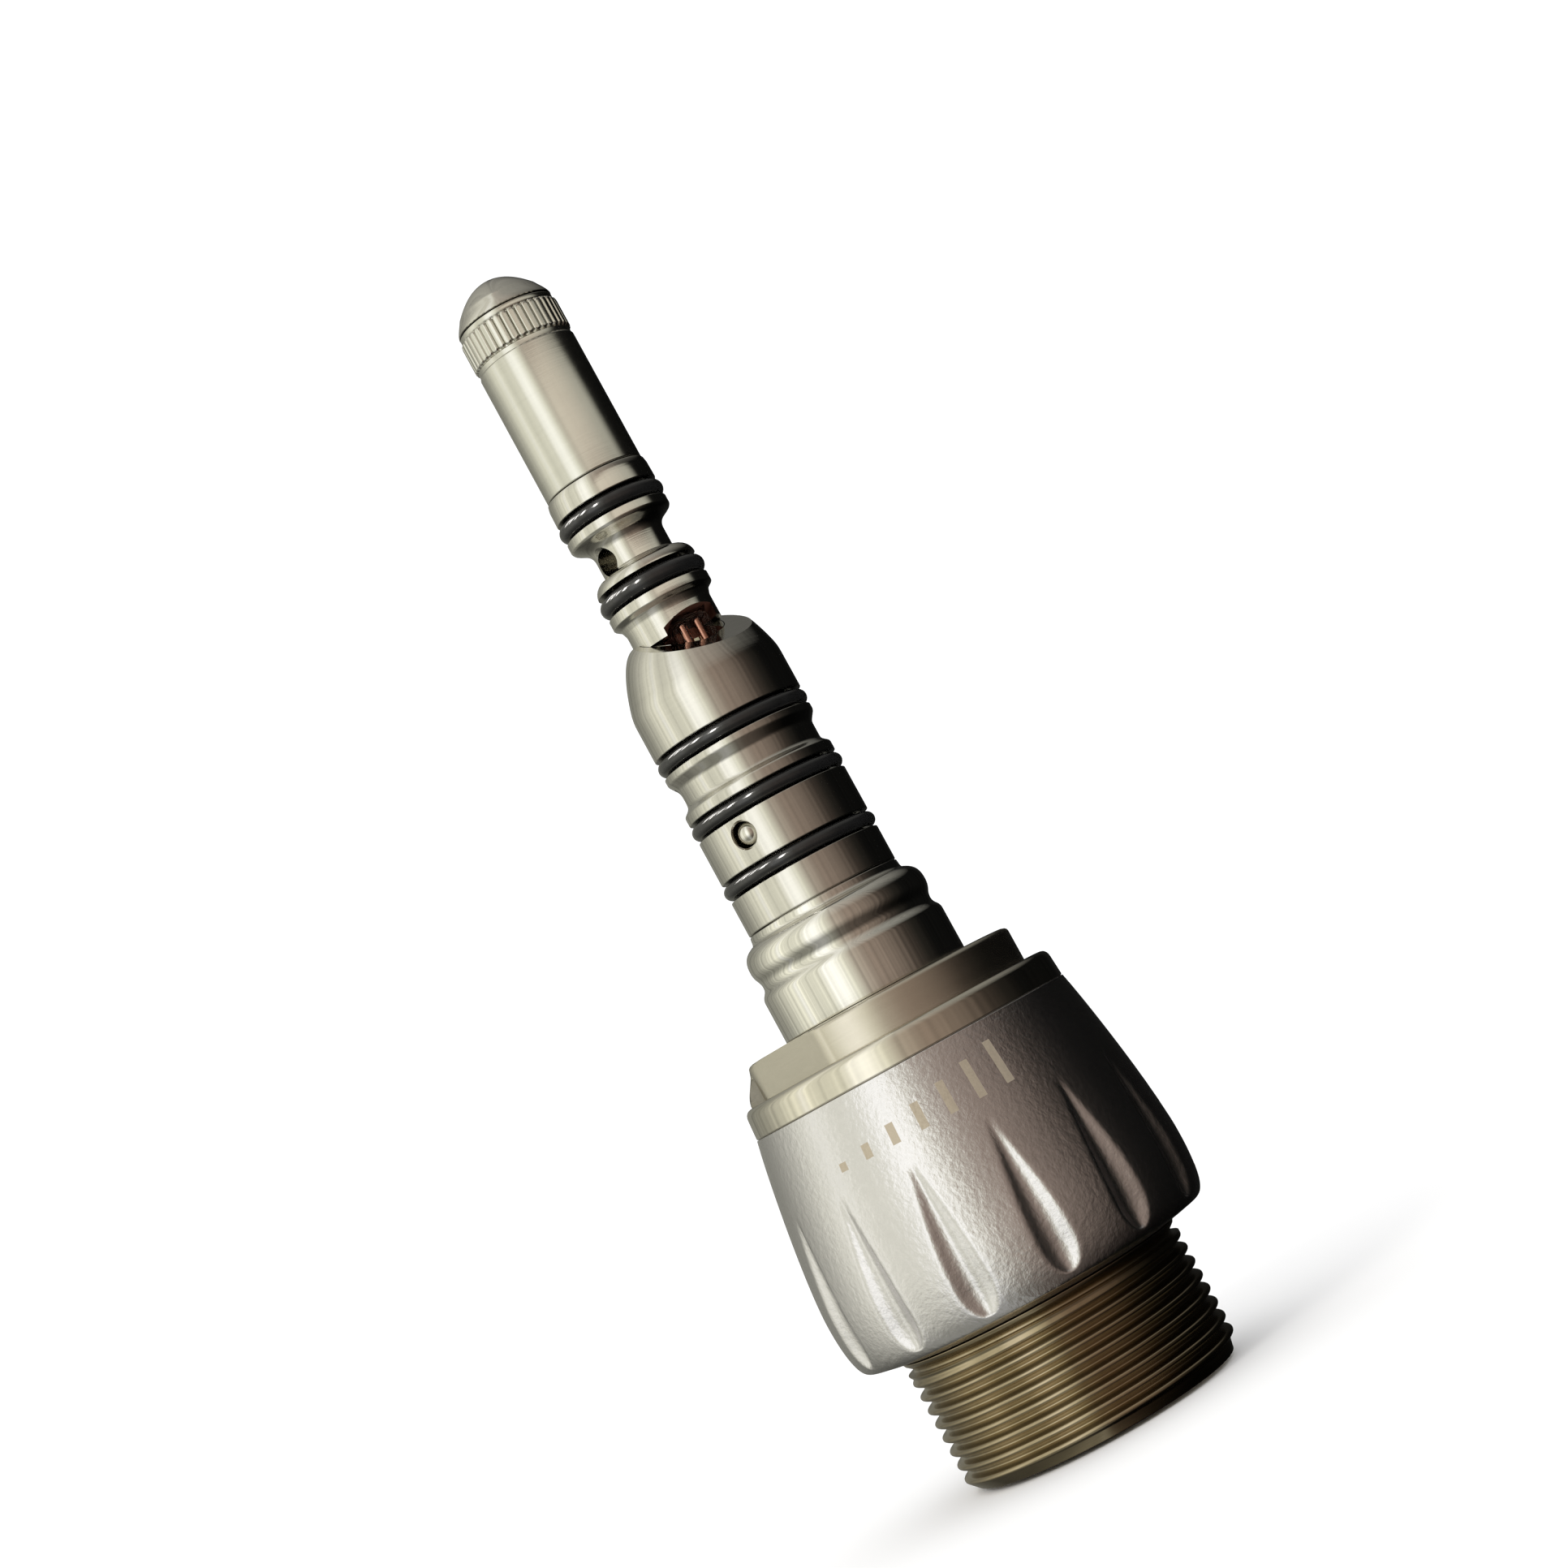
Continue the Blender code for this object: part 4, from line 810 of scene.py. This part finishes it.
def make_nut():
    rear, front = span("wrench_nut")[:2]
    rear -= NUT_OVERLAP
    rows = 14
    bore = BOSS_R + FIT
    low = front - NUT_EDGE - 0.05
    side = [(NUT_R, low - (low - rear) * i / rows) for i in range(rows + 1)]
    outline = [(bore, front), (NUT_SEAT_R, front), (NUT_R, front, NUT_EDGE)] + side
    outline += [(NUT_SEAT_R, rear), (bore, rear)]

    def relief(azimuth, radius, height):
        return nut_relief(azimuth, radius, (front - height) / (front - rear))

    nut = lathe("wrench_nut_fine", rounded(outline), 2 * WIDE, relief=relief)
    # Faces of the lug beyond the nut's round side take the dark lug steel: painted shade on its flank.
    for mat in (NUT_STEEL, LUG_PAINTED_SHADE):
        nut.data.materials.append(mat)
    for face in nut.data.polygons:
        face.material_index = int(face.center.xy.length > (NUT_R + 0.06) * MM)
    place(nut, NUT_STEEL, "turned_steel", "coupling", "wrench_nut", sharp=40.0)


def make_cover():
    rear, front, radius = span("cover_ring")
    bore = BOSS_R + FIT
    lip = rear - LIP_DEPTH
    lip_bore = GRIP_BORE + LIP_GAP
    outline = [(bore, front), (radius - COVER_TAPER, front, COVER_EDGE), (radius, rear, 0.12),
               (LIP_R, rear), (LIP_R, lip), (lip_bore, lip), (lip_bore, rear), (bore, rear)]
    cover = lathe("cover_ring_fine", rounded(outline, 6), WIDE)
    place(cover, COVER_STEEL, "turned_steel", "coupling", "cover_ring")


# ---------------------------------------------------------------- grip ring

def flute_half_width(part):
    """Half width of a flute at a fraction of its length, from its pointed front end."""
    if part < FLUTE_WIDEST:
        return FLUTE_HALF_WIDTH * math.sin(0.5 * math.pi * part / FLUTE_WIDEST) ** 1.3
    tail = (part - FLUTE_WIDEST) / (1.0 - FLUTE_WIDEST)
    return FLUTE_HALF_WIDTH * math.sqrt(max(0.0, 1.0 - tail * tail))


def grip_relief(azimuth, radius, height):
    """Teardrop flutes outside, and the cam groove for the regulator's follower in the bore."""
    if radius > GRIP_BORE + 0.3:
        part = (FLUTE_FRONT - height) / (FLUTE_FRONT - FLUTE_REAR)
        if not 0.0 < part < 1.0:
            return 0.0
        half = flute_half_width(part)
        pitch = 360.0 / FLUTES
        off = math.radians((azimuth - FLUTE_PHASE) % pitch - 0.5 * pitch) * radius
        if half < 0.01 or abs(off) >= half:
            return 0.0
        return -FLUTE_DEPTH * (half / FLUTE_HALF_WIDTH) * (1.0 - (off / half) ** 2) ** 1.3
    turn = (CAM_AZIMUTH - azimuth + 180.0) % 360.0 - 180.0
    run_out = 5.0
    if not -run_out < turn < CAM_TRAVEL + run_out:
        return 0.0
    off = abs(height - CAM_HEIGHT - CAM_LIFT * turn / CAM_TRAVEL)
    return CAM_DEPTH * smooth((CAM_HALF + 0.1 - off) / 0.1)


def make_grip():
    rear, front = span("grip_ring")[:2]
    low = CAM_HEIGHT - 1.0
    high = CAM_HEIGHT + CAM_LIFT + 1.0
    rows = 34
    rebate = LIP_R + LIP_GAP
    face = front - SEAM_GAP
    widest = (GRIP_MAX_R, GRIP_MAX_HEIGHT)
    outline = [(GRIP_BORE, rear)]
    outline += [(GRIP_BORE, low + (high - low) * i / rows) for i in range(rows + 1)]
    outline += [(GRIP_BORE, front - LIP_DEPTH), (rebate, front - LIP_DEPTH), (rebate, front),
                (rebate + 0.02, front), (rebate + 0.04, face), (GRIP_FRONT_R - 0.01, face, 0.08)]
    outline += bezier((GRIP_FRONT_R, face - 0.08), (9.11, 17.85), (GRIP_MAX_R, 12.6), widest, 70)
    outline += bezier(widest, (GRIP_MAX_R, 8.9), (9.72, 7.62), (9.3, 7.42), 40)[1:]
    outline += [(8.7, 7.28), (GRIP_REAR_R, rear, 0.1)]
    grip = lathe("grip_ring_fine", rounded(outline), 28 * FLUTES, relief=grip_relief)
    place(grip, GRIP, "satin_grip", "grip", "grip_ring", sharp=60.0)


# ---------------------------------------------------------------- rear body and hose thread

def make_rear_core():
    """Bearing under the grip and boss through the nut, with the valve and regulator bores."""
    top = span("rear_body")[1]
    bearing = GRIP_BORE - 0.09
    floor = bearing - SEAL_SINK
    bore = PLUG_SPIGOT_R + FIT
    corners = [(bore, top), (BOSS_R, top, 0.15), (BOSS_R, REAR_SHOULDER),
               (bearing, REAR_SHOULDER, 0.1)]
    for height in SEAL_HEIGHTS:
        up, down = height + SEAL_HALF, height - SEAL_HALF
        corners += [(bearing, up), (floor, up), (floor, down), (bearing, down)]
    corners += [(bearing, SOCKET_FLOOR), (bore, SOCKET_FLOOR)]
    core = lathe("rear_body_core_fine", rounded(corners), 128)
    low = SOCKET_FLOOR - 0.5
    tools = [axial_tool(*VALVE_BORE, low, 12.6), axial_tool(*VALVE_OUTLET, 12.3, 15.0),
             axial_tool(*AIR_BORE, low, 19.4), axial_tool(*NEEDLE_BORE, low, 18.6)]
    slot_height = CAM_LIFT + 2.0 * CAM_HALF
    out = Matrix.Translation((0.0, 0.0, (NEEDLE_BORE[0] + 2.0) * MM))
    frame_out = radial_frame(CAM_AZIMUTH, CAM_HEIGHT + 0.5 * CAM_LIFT) @ out
    tools.append(block_tool((2.0 * CAM_HALF, slot_height, 4.0), frame_out))
    cut(core, tools)
    place(core, BRASS, "plated_brass", "coupling", "rear_body")


def thread_relief(azimuth, radius, height):
    """Single-start thread: rounded crests and roots along a helix, fading out at both ends."""
    if radius < THREAD_ROOT_LIMIT:
        return 0.0
    phase = (height / THREAD_PITCH - azimuth / 360.0) % 1.0
    wave = 0.5 - 0.5 * math.cos(2.0 * math.pi * phase)
    fade = smooth((THREAD_TOP - height) / 0.5) * smooth((height - 0.1) / 0.5)
    return -THREAD_DEPTH * fade * wave ** 1.3


def make_thread():
    rows = 132
    seat = SOCKET_FLOOR - 0.02
    outline = [(SOCKET_R, seat), (7.0, seat), (7.2, 7.02, 0.03), (7.6, 6.99, 0.06), (7.5, 6.8),
               (THREAD_RELIEF_R, 6.55, 0.08), (THREAD_RELIEF_R, 6.4, 0.05)]
    outline += [(THREAD_CREST, THREAD_TOP - (THREAD_TOP - 0.5) * i / rows) for i in range(rows + 1)]
    outline += [(THREAD_CREST - 0.5, 0.0, 0.08), (SOCKET_R + 0.2, 0.0, 0.05), (SOCKET_R, 0.2, 0.05)]
    thread = lathe("hose_thread_fine", rounded(outline), WIDE, relief=thread_relief)
    place(thread, BRASS, "plated_brass", "coupling", "rear_body", sharp=60.0)


def make_rear_fittings():
    """Tubes and contact pins that stand out of the insert towards the hose."""
    tubes = {"drive_air_tube": (1.0, 0.7), "spray_air_tube": (0.62, 0.4), "water_tube": (0.62, 0.4)}
    for node, (outer, inner) in tubes.items():
        low, high = (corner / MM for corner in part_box(node))
        at = (0.5 * (low.x + high.x), 0.5 * (low.y + high.y))
        piece = tube(node + "_fine", outer, inner, low.z, high.z, at)
        place(piece, BRIGHT, "polished_steel", "coupling", node)
    for i in (1, 2):
        node = "contact_pin_{}".format(i)
        low, high = (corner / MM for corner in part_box(node))
        at = (0.5 * (low.x + high.x), 0.5 * (low.y + high.y))
        pin = rod(node + "_fine", 0.32, low.z, high.z, at, 32, 0.2)
        place(pin, GOLD, "contact_gold", "coupling", node)


def make_valve_spring():
    """Coil over the check valve's ball."""
    low, high = (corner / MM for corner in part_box("valve_spring"))
    wire = 0.11
    coil = 0.5 * (high.x - low.x) - wire
    turns = 4
    around = 12
    steps = 32 * turns
    rise = (high.z - low.z - 2.0 * wire) / steps
    verts = []
    for i in range(steps + 1):
        turn = 2.0 * math.pi * turns * i / steps
        for k in range(around):
            angle = 2.0 * math.pi * k / around
            reach = coil + wire * math.cos(angle)
            x = 0.5 * (low.x + high.x) + reach * math.cos(turn)
            y = 0.5 * (low.y + high.y) + reach * math.sin(turn)
            verts.append((x, y, low.z + wire + rise * i + wire * math.sin(angle)))
    faces = [tuple(range(around)), tuple(range(len(verts) - around, len(verts)))]
    for i in range(steps):
        for k in range(around):
            j = (k + 1) % around
            a = i * around
            faces.append((a + k, a + j, a + around + j, a + around + k))
    spring = mesh_object("valve_spring_fine", verts, faces)
    place(spring, BRIGHT, "polished_steel", "coupling", "valve_spring")
    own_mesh(spring)


def finish_inner_nodes():
    """Materials for the CAD nodes that stay."""
    finishes = {"connector_insert": PLASTIC, "lamp_socket": PLASTIC, "lamp_base": CERAMIC,
                "lamp_board": BOARD, "led_die": DIE, "feed_wire_1": RED_WIRE,
                "feed_wire_2": BLACK_WIRE, "grip_seal_1": RUBBER, "grip_seal_2": RUBBER,
                "valve_seat": RUBBER, "valve_ball": BRIGHT, "regulator_needle": BRIGHT,
                "follower_pin": BRIGHT}
    for node, mat in finishes.items():
        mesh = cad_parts[node].data
        mesh.materials.clear()
        mesh.materials.append(mat)


# ---------------------------------------------------------------- studio and camera

def make_world():
    """White for the camera and the floor, and a ring of soft cards for the metal to mirror."""
    world = bpy.data.worlds.new("studio")
    bpy.context.scene.world = world
    world.use_nodes = True
    world.cycles.sampling_method = "NONE"
    tree = world.node_tree
    tree.nodes.clear()
    x, y, z = add(tree, "SeparateXYZ", {0: add(tree, "TexCoord").outputs["Generated"]}).outputs
    turn = math_node(tree, "ARCTAN2", x, math_node(tree, "MULTIPLY", y, -1.0))
    ramp = add(tree, "ValToRGB", {"Fac": math_node(tree, "MULTIPLY_ADD", turn, 0.5 / math.pi, 0.5)})
    neutral = (1.0, 1.0, 0.95)
    warm = (1.0, 0.99, 0.85)
    tan = (1.0, 0.88, 0.74)
    brown = (1.0, 0.79, 0.65)
    cards = [(-180, 0.06, warm), (-166, 0.3, warm), (-150, 0.27, warm), (-130, 0.4, warm),
             (-114, 0.6, warm), (-98, 0.92, warm), (-86, 1.12, warm), (-81, 1.35, neutral),
             (-76, 1.08, warm), (-58, 0.95, warm), (-46, 1.0, warm), (-36, 1.5, neutral),
             (-26, 1.6, neutral), (-14, 1.05, warm), (-2, 0.56, tan), (16, 0.38, brown),
             (32, 0.3, brown), (48, 0.21, brown), (64, 0.075, brown), (80, 0.024, tan),
             (98, 0.006, neutral), (150, 0.005, neutral), (180, 0.02, neutral)]
    stops = ramp.color_ramp.elements
    stops.remove(stops[1])
    for azimuth, brightness, hue in cards:
        at = azimuth / 360.0 + 0.5
        stop = stops[0] if azimuth == -180 else stops.new(at)
        stop.position = at
        stop.color = (*(0.5 * brightness * c for c in hue), 1.0)
    around = math_node(tree, "MULTIPLY", turn, 14.0)
    folds = add(tree, "TexNoise", {"W": around, "Scale": 1.0, "Detail": 3.0},
                noise_dimensions="1D").outputs["Fac"]
    uneven = spread(tree, folds, 0.4, 1.6)
    below = spread(tree, math_node(tree, "MULTIPLY_ADD", z, -2.0, -0.1), 1.0, 0.3)
    above = spread(tree, math_node(tree, "MULTIPLY_ADD", z, 1.6, -0.6), 0.0, 0.6)
    level = math_node(tree, "MULTIPLY", math_node(tree, "MULTIPLY", below, uneven), 2.0)
    overhead = (0.37, 0.362, 0.33, 1.0)
    sky = add(tree, "Mix", {0: above, 6: ramp.outputs["Color"], 7: overhead}, data_type="RGBA")
    ring = add(tree, "Background", {"Color": sky.outputs[2], "Strength": level})
    white = add(tree, "Background", {"Color": (1.0, 1.0, 1.0, 1.0), "Strength": 1.15})
    path = add(tree, "LightPath").outputs
    shine = math_node(tree, "MAXIMUM", path["Is Glossy Ray"], path["Is Transmission Ray"])
    mixed = add(tree, "MixShader", {0: shine, 1: white.outputs[0], 2: ring.outputs[0]})
    output = tree.nodes.new("ShaderNodeOutputWorld")
    tree.links.new(mixed.outputs[0], output.inputs["Surface"])


def softbox(name, azimuth, elevation, distance, aim, size, power, colour, mirrored):
    """Rectangular light with soft edges, aimed at a height on the axis."""
    light = bpy.data.lights.new(name, "AREA")
    light.shape = "RECTANGLE"
    light.size = size[0]
    light.size_y = size[1]
    light.energy = power
    light.color = colour
    light.use_nodes = True
    tree = light.node_tree
    across, along = add(tree, "SeparateXYZ", {0: add(tree, "TexCoord").outputs["UV"]}).outputs[:2]
    fades = []
    for place_on in (across, along):
        off = math_node(tree, "ABSOLUTE", math_node(tree, "MULTIPLY_ADD", place_on, 2.0, -1.0))
        fades.append(add(tree, "MapRange", {"Value": off, "From Min": 1.0, "From Max": 0.4},
                         interpolation_type="SMOOTHSTEP").outputs["Result"])
    fade = math_node(tree, "MULTIPLY", fades[0], fades[1])
    tree.links.new(fade, tree.nodes["Emission"].inputs["Strength"])
    obj = bpy.data.objects.new(name, light)
    bpy.context.scene.collection.objects.link(obj)
    x, y = polar(math.cos(math.radians(elevation)), azimuth)
    back = Vector((x, y, math.sin(math.radians(elevation))))
    obj.location = back * distance + Vector((0.0, 0.0, aim * MM))
    obj.rotation_mode = "QUATERNION"
    obj.rotation_quaternion = back.to_track_quat("Z", "Y")
    obj.visible_camera = False
    obj.visible_glossy = mirrored
    return obj


def lit_group(name, starts):
    """Collection of the pieces whose names start in one of these ways, for lights linked to them."""
    group = bpy.data.collections.new(name)
    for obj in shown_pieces():
        if obj.name.startswith(starts):
            group.objects.link(obj)
    return group


def make_lights():
    warm = (1.0, 0.97, 0.92)
    softbox("key", -38.0, 30.0, 0.5, 30.0, (0.2, 0.3), 1.2, warm, False)
    card = softbox("side_card", 42.0, 0.0, 0.1, 80.0, (0.26, 0.06), 0.028, (1.0, 0.99, 0.86), True)
    slim_end = lit_group("sleeve_and_stem", ("nose", "front_sleeve", "stem"))
    card.light_linking.receiver_collection = slim_end
    glossy = lit_group("rubber", ("o_ring",))
    lamps = ((-24.0, 2.2), (-58.0, 1.8), (-80.0, 0.8), (-100.0, 0.8), (-118.0, 0.6))
    for i, (azimuth, power) in enumerate(lamps):
        name = "ceiling_lamp_{}".format(i + 1)
        lamp = softbox(name, azimuth, 38.0, 0.4, 40.0, (0.05, 0.2), power, warm, True)
        lamp.light_linking.receiver_collection = glossy


def make_floor():
    reach = 4.0
    floor = lathe("floor", [(0.0, 0.0), (reach / MM, 0.0), (reach / MM, -1.0), (0.0, -1.0)], 96)
    mat, tree, shader = surface("pale_floor", 0.0)
    cloud = noise(tree, object_vector(tree), 0.02, 2.0)
    pale = tint(tree, cloud, (0.90, 0.90, 0.90), (0.93, 0.93, 0.93))
    tree.links.new(pale, shader.inputs["Base Color"])
    shader.inputs["Roughness"].default_value = 0.9
    shader.inputs["Specular IOR Level"].default_value = 0.0
    floor.data.materials.append(mat)
    finish_mesh(floor)
    floor.location.z = -0.0002
    floor.visible_glossy = False


def make_camera():
    """Close view from a little below, rolled so that the nose points up and to the left."""
    pitch = math.radians(5.8)
    roll = math.radians(28.7)
    target = Vector((1.05, 0.0, 34.98)) * MM
    back = Vector((0.0, -math.cos(pitch), -math.sin(pitch)))
    level = Vector((1.0, 0.0, 0.0))
    upright = Vector((0.0, -math.sin(pitch), math.cos(pitch)))
    up = math.cos(roll) * upright + math.sin(roll) * level
    right = math.cos(roll) * level - math.sin(roll) * upright
    data = bpy.data.cameras.new("camera")
    data.sensor_width = 36.0
    data.lens = 67.1
    data.clip_start = 0.01
    camera = bpy.data.objects.new("camera", data)
    bpy.context.scene.collection.objects.link(camera)
    turned = Matrix((right, up, back)).transposed().to_4x4()
    camera.matrix_world = Matrix.Translation(target + back * 146.9 * MM) @ turned
    bpy.context.scene.camera = camera


make_nose()
make_sleeve()
make_stem()
make_plug()
make_port_ball()
make_o_rings()
make_lamp()
make_collar()
make_nut()
make_cover()
make_grip()
make_rear_core()
make_thread()
make_rear_fittings()
make_valve_spring()
finish_inner_nodes()
make_world()
make_lights()
make_floor()
make_camera()
bpy.context.scene.view_settings.view_transform = "Standard"
